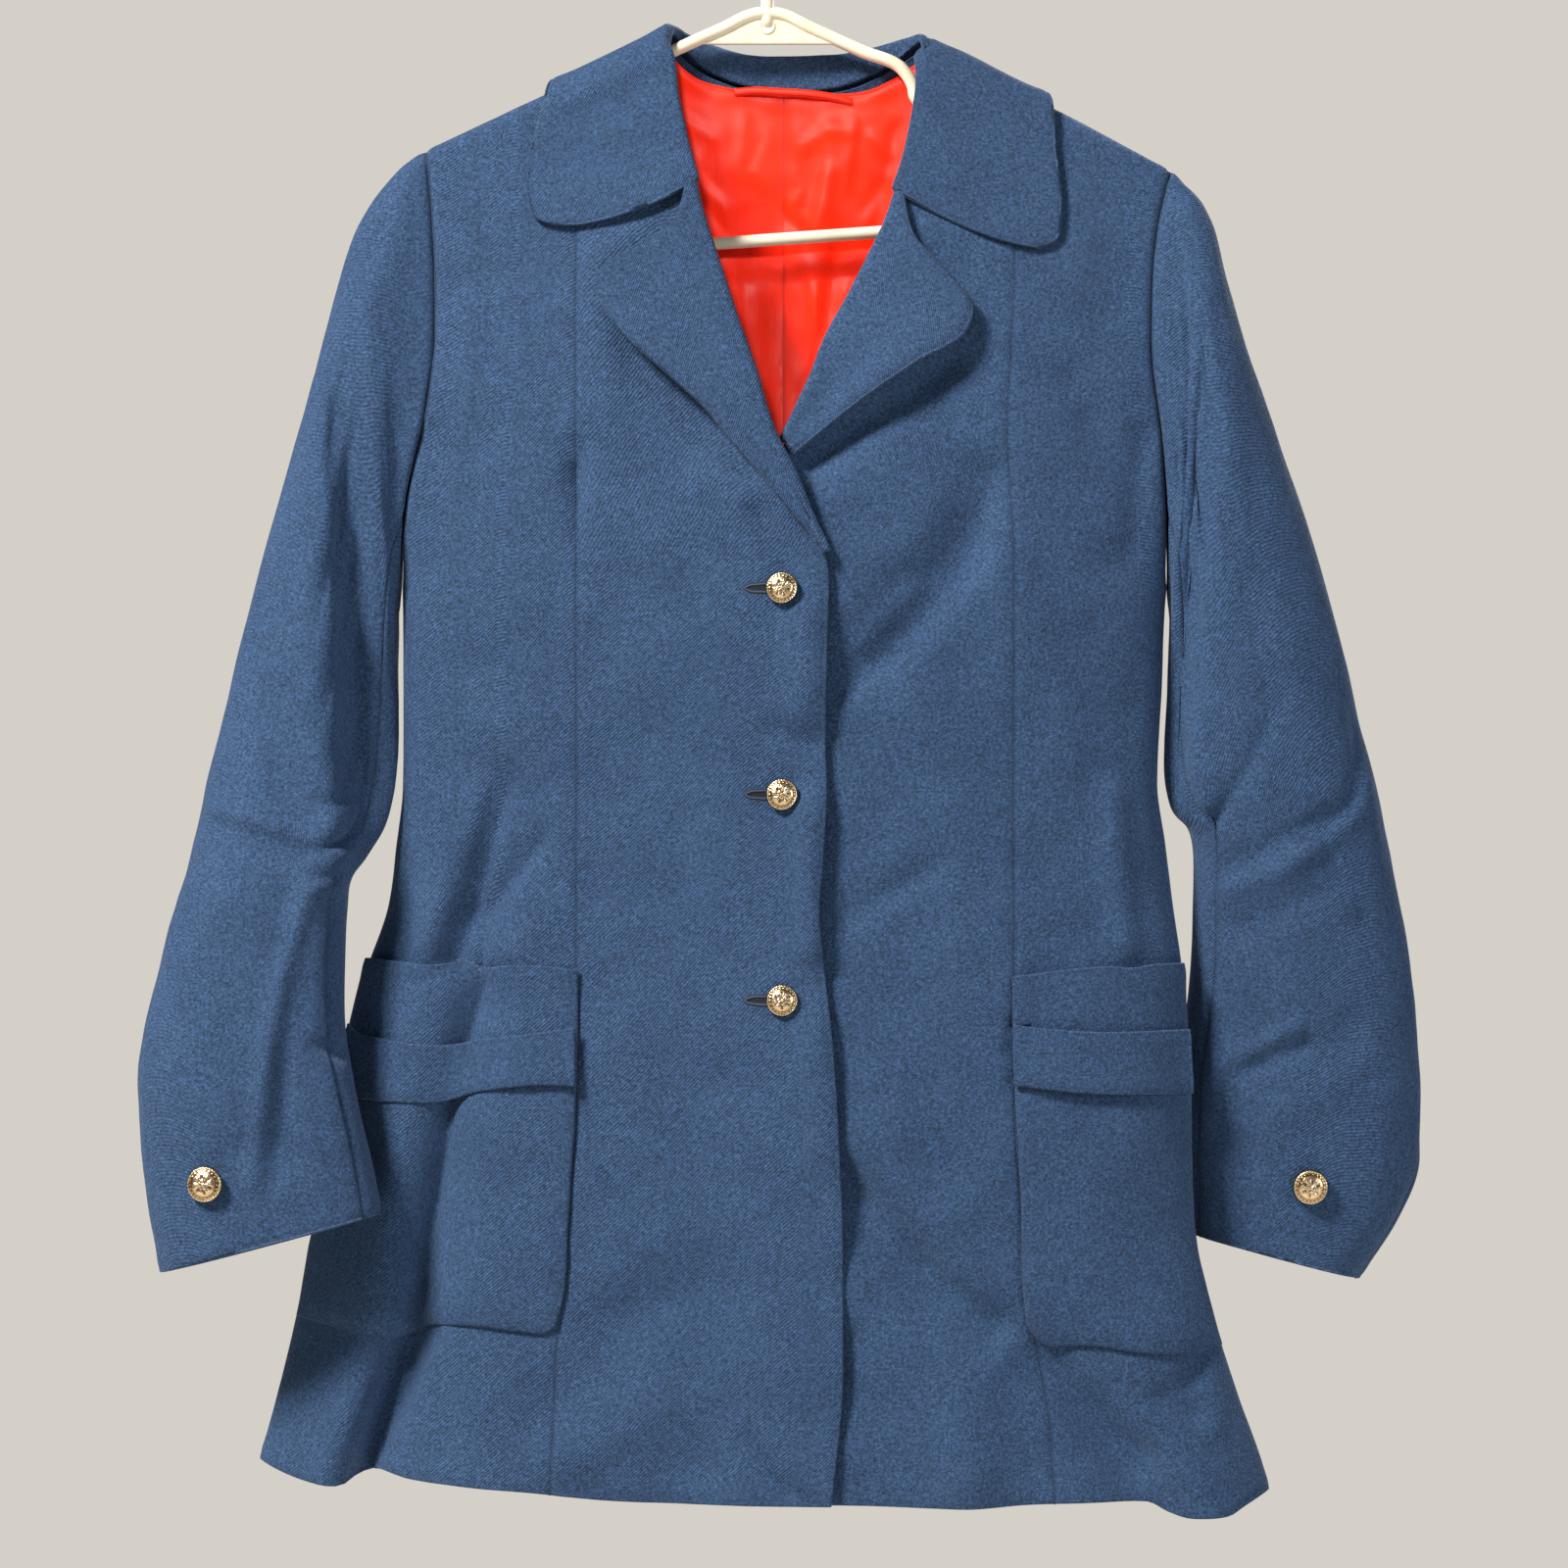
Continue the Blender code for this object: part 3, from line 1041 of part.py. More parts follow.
def build():
    clear_scene()
    right, _ = front_panels("right", 7, 11, 18)
    front_panels("left", 7, 11, 18)
    for side in ("right", "left"):
        back_panel(side, 8, 12)
        lining_panel(side, 7, 8)
    rings = np.concatenate([np.linspace(0, 0.3, 7), np.linspace(0.3, 1, 13)[1:]])
    for side in ("right", "left"):
        sleeve(side, 12, 9, rings)
        lapel(side, 13, 7)
        pocket(side, 10, 8)
        pocket_band(side, 10, 3)
    collar(6)
    for index, height in enumerate(BUTTON_HEIGHTS, 1):
        add_boolean(right, window_cutter(index, height), "DIFFERENCE")
        buttonhole(index, height)
        x, z = np.array(BUTTON_X), np.array(height)
        seat, normal = lay(lambda a, b: front_y("right", a, b), -1, x, z)
        under = float(front_y("left", x, z))
        back = seat + normal * (OUTER / 2 + 0.65)
        reach = abs(back[1] - under) - OUTER / 2 - SURFACE_GAP - 0.1
        button("front_button_%d" % index, back, (0.0, -1.0, 0.0), BUTTON_RADIUS, reach)
    for side, x, z in (("right", -296.4, -721.9), ("left", 279.5, -729.6)):
        seat, normal = sleeve_spot(side, x, z)
        back = seat + normal * (OUTER / 2 + SURFACE_GAP + 1.4)
        button("cuff_button_" + side, back, normal, CUFF_BUTTON_RADIUS, 1.4)
    hanger_loop()
    hanger()


build()
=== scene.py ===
"""Looks of a long fitted blazer, buttoned right over left, hung on a cream tubular hanger.

Tables are in millimetres and the scene is in metres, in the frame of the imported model:
X runs to the wearer's left, Y to the back, Z up, from the inside top of the hook.
"""

import json
import math

import bmesh
import bpy
import mathutils
import numpy as np
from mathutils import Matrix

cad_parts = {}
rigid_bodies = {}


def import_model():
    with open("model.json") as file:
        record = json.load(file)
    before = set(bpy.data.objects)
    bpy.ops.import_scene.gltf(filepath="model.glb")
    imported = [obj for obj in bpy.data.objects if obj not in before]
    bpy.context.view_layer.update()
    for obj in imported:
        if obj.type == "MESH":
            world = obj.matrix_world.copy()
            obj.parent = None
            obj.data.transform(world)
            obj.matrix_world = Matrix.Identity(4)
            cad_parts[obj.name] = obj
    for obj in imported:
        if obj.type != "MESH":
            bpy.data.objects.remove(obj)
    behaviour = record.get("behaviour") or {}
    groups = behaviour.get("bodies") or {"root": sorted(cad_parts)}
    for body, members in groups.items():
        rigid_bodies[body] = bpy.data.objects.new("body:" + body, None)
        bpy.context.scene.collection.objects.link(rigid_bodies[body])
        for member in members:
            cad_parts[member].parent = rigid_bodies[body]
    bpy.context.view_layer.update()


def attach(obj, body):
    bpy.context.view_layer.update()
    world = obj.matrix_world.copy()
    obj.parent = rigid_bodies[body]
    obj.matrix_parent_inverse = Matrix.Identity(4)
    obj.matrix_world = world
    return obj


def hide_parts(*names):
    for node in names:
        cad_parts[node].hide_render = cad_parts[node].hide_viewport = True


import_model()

MM = 0.001
SIGN = {"right": -1, "left": 1}

# Thicknesses of the cloth, and the gap between pieces that touch
OUTER = 1.8
DOUBLE = 2.4
LINING = 1.0
SURFACE_GAP = 0.3

# Body
NECK_ROUND = 8.0
SHOULDER_REACH = 120.0
SQUARENESS = 2.5
UNDERARM = -412.0
UNDERARM_SHARE = 0.62

# Buttons and buttonholes
BUTTON_RADIUS = 8.4
CUFF_BUTTON_RADIUS = 9.5
SHANK_RADIUS = 1.1
BUTTON_TURNS = 144
BUTTON_HEIGHTS = (-414.4, -522.0, -629.3)
BUTTON_X = -1.0
# Cuff buttons: side, x, height, turn of the relief
CUFF_BUTTONS = (("right", -296.4, -721.9, 0.2), ("left", 279.5, -729.6, 0.9))
HOLE_CENTRE_X = -8.6
# Loops of a buttonhole from its outside in: half width, half height, how high, how much painted shadow, on the
# outline and in the slot
HOLE_LOOPS = (
    (13.0, 3.6, 0.00, 0.0), (12.5, 3.1, 0.02, 1.0), (12.1, 2.7, 0.03, 1.0), (11.9, 2.45, 0.45, 0.0),
    (11.5, 2.1, 0.62, 0.0), (11.1, 1.75, 0.45, 0.0), (10.9, 1.5, 0.02, 1.0), (8.0, 0.9, 0.0, 1.0),
    (1.0, 0.1, 0.0, 1.0),
)

# Lengths that the cells of the pieces are shared out over
BELOW_UNDERARM, ABOVE_UNDERARM = 476.0, 280.0
FRONT_WIDE, SIDE_WIDE, BACK_WIDE = 136.0, 112.0, 215.0
SLEEVE_LONG, TOP_SLEEVE_WIDE, UNDER_SLEEVE_WIDE = 600.0, 210.0, 190.0
POCKET_WIDE, POCKET_TALL, BAND_TALL = 112.0, 192.0, 31.0
COLLAR_LONG, LAPEL_LONG, FALL_DEEP = 560.0, 200.0, 80.0
# Height at which a princess seam is read to find where it meets the hem
PRINCESS_FOOT = -888.0
# How strongly the creases of the body and of the sleeves' front faces show
BODY_CREASE = 1.9
SLEEVE_CREASE = 1.35

# Hanger
HANGER_X = -9.0
TUBE_RADIUS = 3.4
HOOK_RADIUS = 22.4
ARM_SLOPE = 0.45
APEX_HEIGHT = -105.0
BAR_HEIGHT = -227.8
BAR_TILT = 0.07
BOSS_HEIGHT = -114.5

# Silhouette of the body: height, right side, left side, front depth, back depth
BODY = (
    (-905, -285, 260, 52, 32), (-880.4, -279.8, 254.8, 51, 31), (-838.8, -268.6, 240.2, 49, 30),
    (-797.2, -258.5, 227, 48, 29), (-755.6, -250.7, 217.2, 47, 28), (-724.4, -243, 215.2, 46, 27),
    (-682.8, -236, 214.6, 45, 26), (-646.4, -229.6, 212.8, 43, 25), (-612.6, -220.4, 210.4, 41, 24),
    (-584, -210.2, 206.2, 39, 23), (-547.6, -205, 201.6, 38, 22), (-516.4, -201.6, 197.4, 38, 22),
    (-464.4, -201.4, 199.8, 41, 23), (-412.4, -201.8, 202.4, 44, 24), (-381.2, -206, 207.4, 44, 24),
    (-300, -212, 214, 42, 24), (-180, -216, 224, 36, 22), (-100, -216, 226, 30, 20),
)

# Shoulder line: distance from the centre, height
SHOULDER = (
    (-216, -196), (-189.8, -181), (-150, -162.3), (-109.5, -143.6), (-62, -122), (0, -101), (74, -126),
    (121.3, -148), (160, -167.5), (204.4, -191.4), (226, -206),
)

# Armhole edges: height, distance from the centre
ARMHOLE = {
    "right": (
        (-412.4, -201.8), (-381.2, -201), (-347.4, -195), (-318.8, -188.4), (-287.6, -184.6),
        (-256.4, -184.1), (-204.4, -187.2), (-181, -189.8),
    ),
    "left": (
        (-412.4, 202.2), (-370.8, 201.6), (-329.2, 198.6), (-298, 194.4), (-266.8, 193.4), (-225.2, 196.6),
        (-191.4, 204.4),
    ),
}

# Princess seams: height, distance from the centre
PRINCESS = {
    "right": (
        (-900, -122.5), (-887, -121.8), (-843.8, -119.7), (-802.9, -117.7), (-787, -115.6),
        (-744.6, -112.1), (-675, -108.4), (-611, -108.5), (-414, -108.8), (-311.7, -109.2),
        (-143.6, -109.5),
    ),
    "left": (
        (-900, 141.5), (-887, 140.7), (-849, 138.2), (-810.6, 132), (-778.3, 126), (-735.9, 123.3),
        (-680.1, 120.2), (-611, 120.2), (-393.6, 120.2), (-362.9, 118.7), (-332.2, 116.9), (-286.1, 119.2),
        (-241.1, 121.3), (-148, 121.3),
    ),
}

# Inner edges of the fronts, from the hem up the closing edge, the roll and the neck: height, place
EDGES = {
    "right": (
        (-891.4, 24.5), (-822.4, 30.6), (-751.5, 30.4), (-717.8, 29.1), (-684.2, 27.5), (-650, 25),
        (-625, 22.4), (-604.6, 19.9), (-582.7, 18.2), (-559.2, 19.9), (-516.9, 22.2), (-491.9, 21.6),
        (-440.9, 22.4), (-410.3, 23.3), (-397.7, 21.5), (-384.3, 15.5), (-372, 9.6), (-358.6, 4.2),
        (-337.6, -7.1), (-297, -19.6), (-267.2, -30.3), (-233.3, -41.2), (-218.4, -46), (-199.5, -51),
        (-190, -53.4), (-176, -56.4), (-158, -60), (-140, -62.4), (-128, -63.2), (-122, -62),
    ),
    "left": (
        (-891, -24), (-420, -24), (-400, -22), (-370, -14), (-345, -3), (-332, 3.8), (-301.1, 18.4),
        (-284.1, 25), (-261, 37.4), (-233.3, 51.2), (-207.6, 61.5), (-194, 66.2), (-180, 70.2),
        (-163, 73.6), (-145, 75.6), (-132, 75.4), (-126, 74),
    ),
}

# Hems: distance from the centre, height
HEM_FRONT = (
    (-284, -870.5), (-275.8, -873.5), (-252.8, -881.2), (-232.8, -883.7), (-224.1, -878.6),
    (-210.3, -875.6), (-197, -878.6), (-171.4, -881.7), (-137.6, -884.3), (-92.1, -888.9), (-51.2, -890.4),
    (0, -891.4), (24.6, -891.4), (92.1, -893), (125.9, -891.4), (160.2, -890.9), (190.3, -891.9),
    (200.6, -897), (214.4, -900.6), (232.8, -899.6), (241.5, -895.5), (262, -886.5),
)
HEM_BACK = ((-284, -870.5), (-240, -879.5), (-180, -882), (0, -883), (180, -885), (262, -886.5))

# Neck seam of the back: distance from the centre, height
BACK_NECK = (
    (-62, -122), (-58, -126.5), (-48, -135.5), (-30, -144.5), (2, -149.5), (34, -147), (56, -137.5),
    (68, -130), (74, -126),
)

# Folds pressed into the body: start x, start z, end x, end z, height at start, at end, half width
FRONT_FOLDS = (
    (-130, -505, -152, -564, 0, -3.5, 11), (-152, -564, -157, -610, -3.5, -4.5, 10),
    (-157, -610, -179, -682, -4.5, -5, 12), (-179, -682, -197, -791, -5, -6.5, 13),
    (-197, -791, -218, -880, -6.5, -9, 14), (-190, -640, -232, -885, 1, 6, 20),
    (-150, -620, -150, -885, 1, 5, 26), (36, -712, 82, -762, 0, -3.5, 14),
    (82, -762, 140, -812, -3.5, -4.5, 18), (140, -812, 194, -895, -4.5, -8.5, 16),
    (172, -790, 228, -898, 0, 7, 18), (60, -800, 105, -890, 0, 4, 24), (95, -385, 22, -455, -2.5, 0, 14),
    (-109, -345, -109, -385, -3, 0, 9), (14, -565, 14, -600, 2, 2, 14),
)
BACK_FOLDS = (
    (-120, -560, -170, -885, -2, -8, 17), (-70, -600, -95, -885, 1, 6, 22),
    (60, -620, 80, -885, -1.5, -7, 16), (120, -560, 160, -885, 1, 7, 20), (0, -540, -12, -885, -1, -4, 12),
    (-130, -300, -60, -430, -3, -1, 14), (135, -310, 70, -450, -3.5, -0.5, 15),
)
LINING_FOLDS = (
    (-2, -150, -6, -330, -1.5, -1, 7), (26, -165, 12, -330, 1.5, 1, 6), (-34, -170, -22, -300, 1.2, 0.8, 6),
)

# Sleeve rings, shoulder to cuff: outer x, z, inner x, z, middle y, front, back, crease place, crease share
SLEEVES = {
    "right": (
        (-203.8, -191.9, -204.4, -420.2, 0, 20, 14, 0.10, 0),
        (-219.4, -210.6, -205.2, -426.9, 0, 24, 18, 0.10, 0),
        (-233, -239.7, -205.6, -437.3, 0, 27, 21, 0.10, 0),
        (-243.9, -282.4, -205.6, -451.4, 0, 29, 23, 0.14, 0.3),
        (-254.6, -324.1, -205.4, -466, -2, 30, 24, 0.32, 0.6),
        (-268.4, -373.6, -205, -484.2, -4, 30, 25, 0.47, 0.9),
        (-282, -423.1, -204.8, -503.4, -8, 30, 25, 0.58, 1),
        (-292.4, -470.8, -205.6, -519.5, -12, 30, 25, 0.66, 1),
        (-302, -512.2, -209.6, -536, -18, 30, 25, 0.75, 0.9),
        (-307.2, -542.1, -219.2, -553.4, -26, 30, 25, 0.88, 0.6),
        (-311.7, -564.1, -227.5, -566.2, -31, 30, 25, 0.95, 0.1),
        (-317.9, -583, -229.7, -583, -35, 29, 25, 0.95, 0),
        (-325.9, -613.6, -230.3, -611, -40, 28, 25, 0.95, 0),
        (-332.1, -644.1, -229.9, -640, -44, 28, 24, 0.95, 0),
        (-335.2, -672, -226, -665.3, -48, 27, 23, 0.95, 0),
        (-332.9, -702.4, -220.2, -692.2, -51, 26, 21, 0.95, 0),
        (-328.6, -732.9, -213.9, -717.6, -54, 25, 19, 0.95, 0),
        (-322.8, -769.9, -209.8, -739.4, -56, 24, 18, 0.95, 0),
    ),
    "left": (
        (212.7, -199.2, 204.6, -418.6, 0, 20, 14, 0.10, 0),
        (222.6, -212.2, 205.2, -425.4, 0, 24, 18, 0.10, 0),
        (231.9, -236.6, 205.4, -435.8, 0, 27, 21, 0.24, 0.3),
        (240.2, -272, 205, -448.8, 0, 29, 23, 0.49, 0.6),
        (251.7, -308.4, 204.6, -464.4, 0, 30, 24, 0.65, 0.9),
        (265.4, -347.2, 203.6, -482.5, 2, 30, 25, 0.74, 1),
        (281, -386.3, 202.4, -501.8, 2, 30, 25, 0.80, 1), (293.1, -430.5, 202, -516.4, 3, 30, 25, 0.82, 1),
        (300.1, -470.5, 205.2, -529.4, 5, 30, 25, 0.85, 0.9),
        (312.9, -511.1, 214.8, -538.3, 7, 29, 25, 0.93, 0.5),
        (319.4, -542.5, 218.7, -551.8, 9, 28, 25, 0.95, 0),
        (328.1, -584.3, 218.9, -581.7, 12, 27, 25, 0.95, 0),
        (333.8, -621, 218.1, -613.1, 15, 26, 24, 0.95, 0),
        (337.3, -652.5, 215.3, -642.1, 18, 25, 23, 0.95, 0),
        (339.7, -678.8, 212.8, -668.4, 20, 25, 22, 0.95, 0),
        (339.3, -705.1, 211.8, -694.6, 22, 25, 21, 0.95, 0),
        (337.8, -726.2, 211.9, -718.3, 24, 25, 20, 0.95, 0),
        (325.2, -753.5, 214, -739.3, 25, 24, 19, 0.95, 0),
        (306.9, -781.3, 216.1, -756.6, 26, 23, 18, 0.95, 0),
    ),
}
# Sleeve seams as angles round the ring, in degrees, armhole and cuff: back seam, front seam
SLEEVE_SEAMS = {"right": ((-28.0, -4.0), (132.0, 150.0)), "left": ((-28.0, 16.0), (132.0, 150.0))}

# Folds on the sleeves: share along at start, at end, share round at start, at end, height, half width
SLEEVE_FOLDS = {
    "right": (
        (0.40, 0.54, 0.10, 0.30, -1.6, 0.030), (0.43, 0.50, 0.48, 0.30, -1.4, 0.030),
        (0.52, 0.90, 0.34, 0.42, 3, 0.070), (0.30, 0.42, 0.20, 0.26, 1.8, 0.060),
    ),
    "left": (
        (0.56, 0.44, 0.44, 0.22, -3, 0.028), (0.50, 0.58, 0.06, 0.20, -2.5, 0.028),
        (0.05, 0.12, 0.16, 0.34, -2.2, 0.030), (0.55, 0.85, 0.26, 0.34, 2.5, 0.080),
    ),
}

# Collar stations from the right front end round the neck to the left front end:
# neck seam x, y, z, top of the roll x, y, z, outer edge x, y, z, droop of the middle.
# A y of None is read off the front under it.
COLLAR = (
    (-50.5, None, -199.5, -48.6, None, -199, -121, None, -222.6, 12),
    (-53, None, -190, -50.6, None, -189.4, -130.5, None, -219.2, 8),
    (-56.2, None, -176, -54, None, -175, -135, None, -208, 4),
    (-60, None, -158, -57.6, None, -156, -135, None, -190, 0),
    (-62.4, None, -140, -59.8, None, -138, -131.5, None, -172, 0),
    (-63.2, None, -128.5, -60.6, -6, -124.5, -126.4, None, -155, 0),
    (-61, 0, -120.6, -58.6, 0.5, -115, -122.6, 0.5, -144.8, 0),
    (-57, 6.5, -124.6, -53, 7, -117, -117, 12.5, -152, 0),
    (-47, 10, -134.6, -43, 10.5, -121.6, -104, 16.5, -168, 0),
    (-29.6, 12.2, -143.6, -27, 12.6, -126.6, -70, 20, -187, 0),
    (2, 13.2, -148.4, 2, 13.8, -128.8, 2, 21.5, -196, 0),
    (33.6, 12.2, -146, 32, 12.8, -127.6, 76, 20, -190, 0),
    (55, 9.8, -136.6, 52, 10.4, -123.6, 113, 16.5, -173, 0),
    (67, 6.4, -128.8, 64.4, 7, -120, 131, 12.5, -160, 0),
    (73.2, 0, -124.8, 71.4, 0.5, -119.4, 138.6, 0.5, -152.4, 0),
    (75.4, None, -132.6, 72.4, -6, -128.6, 142.2, None, -163, 0),
    (75.6, None, -145, 72.6, None, -143, 143.5, None, -180, 0),
    (73.6, None, -163, 71, None, -161, 145.5, None, -198, 0),
    (70.2, None, -180, 67.6, None, -179, 146.2, None, -215, 2),
    (66.2, None, -194, 63.6, None, -193.4, 143.5, None, -230, 6),
    (63, None, -203.6, 61, None, -203, 134, None, -235, 10),
)

# Lapels: the heights of the roll, the outer edge up to the tip and the notch edge out to it, as x, z
LAPELS = {
    "right": {
        "roll": (-396, -200),
        "outer": (
            (20.4, -397.6), (13.6, -387), (5.2, -377.4), (-4.1, -365.6), (-17.4, -348.6), (-27.6, -337.4),
            (-39.9, -322.1), (-60, -304), (-81.8, -283.7), (-95.6, -264.6), (-98.2, -254.5),
            (-96.1, -247.4),
        ),
        "notch": ((-50.9, -200), (-58.6, -223.4), (-77, -234.4), (-96.1, -247.4)),
        "curl": 2.5,
    },
    "left": {
        "roll": (-338.5, -205),
        "outer": (
            (5.2, -344.5), (41.5, -316.4), (68, -298), (94.5, -280.4), (98, -272), (97.5, -264.6),
        ),
        "notch": ((62.4, -205), (68.4, -230), (82, -246), (97.5, -264.6)),
        "curl": 1.9,
    },
}

# Pockets: inner edge upwards, bottom edge from inner to outer, top edge, as x, z
POCKETS = {
    "right": {
        "inner": (
            (-119, -798.5), (-115.9, -787.6), (-112.5, -745), (-108.4, -675.3), (-107.4, -644.5),
            (-107.7, -613.8),
        ),
        "bottom": (
            (-119, -798.5), (-123.5, -801.9), (-137.9, -801.4), (-163.6, -798.6), (-182, -799.4),
            (-202.5, -805), (-223, -803), (-256, -796.8),
        ),
        "top": ((-107.7, -613.8), (-133.3, -611.4), (-182, -610.7), (-219, -609.2)),
    },
    "left": {
        "inner": (
            (127, -798.5), (124.6, -778.9), (123.6, -736.3), (120.5, -679.9), (119.3, -645), (119, -616.9),
        ),
        "bottom": (
            (127, -798.5), (132.3, -806), (160.5, -809.6), (194.3, -814.8), (208.2, -815.3), (230, -812.7),
        ),
        "top": ((119, -616.9), (145.1, -614.3), (174.8, -611.9), (209.2, -611.2)),
    },
}
# Straps across the pockets: place, top height, bottom height
BANDS = {
    "right": (
        (-229, -643.5, -678.5), (-223.3, -648, -680.7), (-211.5, -650.5, -682.5), (-181.8, -653.1, -683.3),
        (-152.6, -650.5, -677.5), (-122.9, -646.4, -673.8), (-108.1, -643.9, -674.1),
    ),
    "left": (
        (118.6, -643.4, -674.1), (144.9, -645.4, -677), (174.6, -646.4, -679.2), (215.6, -645.9, -679.7),
    ),
}

# Tape loop at the back of the neck: x, height, how far it stands off the lining
LOOP = (
    (-26.5, -148.4, 0.1), (-16, -147.8, 1.6), (0, -148.6, 2.8), (14, -149.6, 2.6), (27, -151.4, 1.4),
    (36.4, -153.6, 0.1),
)
LOOP_THICK = 1.2

# Cell sizes of the cloth, at edges and inside
FINE = 1.2
COARSE = 3.4
# Distances below the shoulder's crest of the first rows
CREST = (0.0, 0.3, 0.7, 1.2, 1.8, 2.6, 3.6, 4.8, 6.2, 8.0, 10.0, 12.4, 15.2)

# Creases of the fronts: start x, start z, end x, end z, height at start, at end, half width on each side
FRONT_CREASES = {
    "right": (
        (-127, -549, -154, -585, -1.6, -3.6, 2.6, 9), (-154, -585, -158.5, -612, -3.6, -2, 2.6, 9),
        (-143, -512, -172, -612, -2.2, -4, 5, 10), (-160, -520, -190, -612, 1.4, 2.2, 8, 8),
        (-153, -618, -172, -700, -4.4, -5.8, 7, 15), (-172, -700, -187, -800, -5.8, -6, 7, 15),
        (-187, -800, -220, -884, -6, -6.6, 6, 15), (-186, -630, -212, -800, 2.4, 3, 9, 10),
        (-206, -800, -240, -880, 2, 2.8, 10, 9), (-17.4, -853, 5.5, -886, -1.4, -2.6, 3.4, 5),
        (-12, -850, 10, -884, 0.8, 1.8, 4, 4), (-60, -835, -120, -872, 1.4, 2.6, 14, 20),
        (-30, -770, -95, -800, -1.6, -2.2, 16, 18), (-178, -520, -190, -600, 1.6, 2, 9, 12),
        (-84, -262, -50, -306, -1, -2.4, 8, 18), (-50, -306, -12, -356, -2.4, -1.4, 8, 18),
        (-14, -372, 8, -408, -2.6, -1.2, 5, 7), (10, -426, 11, -482, 2.6, 2.4, 10, 8),
        (11, -528, 14, -604, 2.8, 3.2, 10, 8), (15, -640, 19, -716, 1.8, 1.2, 10, 8),
        (-8, -486, 16, -498, -1.4, -1.6, 6, 6), (-160, -260, -130, -330, 1.2, 0.9, 18, 14),
        (-186, -330, -176, -400, -1.8, -0.9, 8, 10), (-109, -350, -106, -392, -2.6, -0.6, 5, 6),
        (-96, -240, -92, -330, 1.4, 0.8, 9, 9),
    ),
    "left": (
        (10, -352, 50, -322, -2.4, -3.4, 12, 10), (50, -322, 90, -294, -3.4, -2.4, 12, 10),
        (108, -350, 95, -403, -3, -4.6, 10, 20), (95, -403, 56, -447, -4.6, -4.2, 10, 22),
        (56, -447, 25, -468, -4.2, -2.2, 10, 20), (70, -412, 38, -446, 1.4, 1, 6, 6),
        (82, -559, 30, -588, -1.6, -1.2, 6, 9), (28, -716, 84, -779, -3.4, -4.8, 9, 20),
        (84, -779, 114, -803, -4.8, -3.2, 9, 20), (40, -698, 104, -784, 1.6, 2.4, 14, 20),
        (134, -814, 190, -872, -2, -3.4, 8, 18), (227, -812, 212, -834, -2.6, -1.6, 4, 7),
        (232, -828, 226, -860, 1.6, 1.4, 6, 7), (196, -834, 216, -850, -1.6, -1, 6, 8),
        (118, -642, 133, -647, -1.3, -0.6, 3, 4), (114, -655, 132, -662, -1, -0.5, 3, 4),
        (150, -300, 175, -360, -1.8, -1, 14, 12), (60, -520, 100, -600, 1.2, 1.5, 22, 22),
        (172, -520, 180, -604, 2.2, 2.4, 8, 9), (190, -330, 180, -400, -2, -0.9, 8, 9),
        (88, -800, 96, -884, 1.4, 2.2, 16, 14),
    ),
}
BACK_CREASES = (
    (-60, -230, -90, -330, 1, 0.4, 18, 14), (95, -220, 60, -330, -1.2, -0.5, 14, 18),
    (20, -420, 70, -520, -1.4, -0.6, 9, 14), (-24, -430, -95, -515, -1.6, -0.7, 10, 13),
    (-140, -470, -60, -500, -1, -0.4, 7, 8), (150, -480, 80, -512, -1.2, -0.5, 8, 7),
    (-185, -760, -212, -880, 1.2, 2.4, 12, 16), (24, -760, 36, -884, 1, 2, 13, 12),
    (178, -700, 206, -884, -1.2, -2.6, 12, 14),
)
LINING_CREASES = (
    (-16.6, -196, 12.5, -223, -1.6, -2.2, 2.2, 6), (23.5, -188, 14.5, -223, 1.5, 1.8, 5, 2.2),
    (-57, -160, -38, -172, 1.2, 0.8, 2.2, 3.4), (-38, -172, -46, -186, 0.9, 0.5, 2.4, 2.4),
    (-52, -188, -30, -210, 1.3, 1, 2.2, 4), (-30, -210, -20, -205, 1, 0.5, 2.2, 3),
    (-47, -205, -28, -224, -1, -0.8, 2.6, 3), (-20, -160, -25, -192, 1, 0.4, 3, 5),
    (-12, -172, -19, -188, -0.9, -0.5, 2.2, 2.6), (2, -208, 10, -202, 1.1, 0.9, 1.8, 1.8),
    (10, -202, 9, -196, 0.9, 0.5, 1.6, 1.8), (8, -178, 24, -167, 0.9, 1.1, 2.4, 3),
    (24, -167, 40, -170, 1.1, 0.6, 2.6, 3), (38, -162, 33, -200, 1.3, 1, 2.2, 5.5),
    (46, -170, 58, -182, 1, 1, 2.4, 3), (52, -196, 42, -212, -0.9, -0.7, 2.4, 3.2),
    (60, -166, 48, -230, -1, -1.2, 3, 4), (-60, -170, -44, -232, -1.1, -1, 3.2, 4),
    (-34, -236, -26, -300, 1.3, 1, 3, 6), (-22, -240, -16, -330, -1.2, -0.9, 3, 5),
    (12, -236, 22, -290, 1.2, 0.9, 4, 3), (28, -232, 12, -318, -1.3, -1, 5, 3.4),
    (34, -250, 20, -300, 1, 0.8, 2.6, 3), (-10, -300, -6, -390, 0.9, 0.7, 3, 3.6),
    (8, -310, 4, -390, -0.9, -0.7, 3, 3), (-54, -250, 46, -243, -0.9, -0.9, 2.2, 5),
)
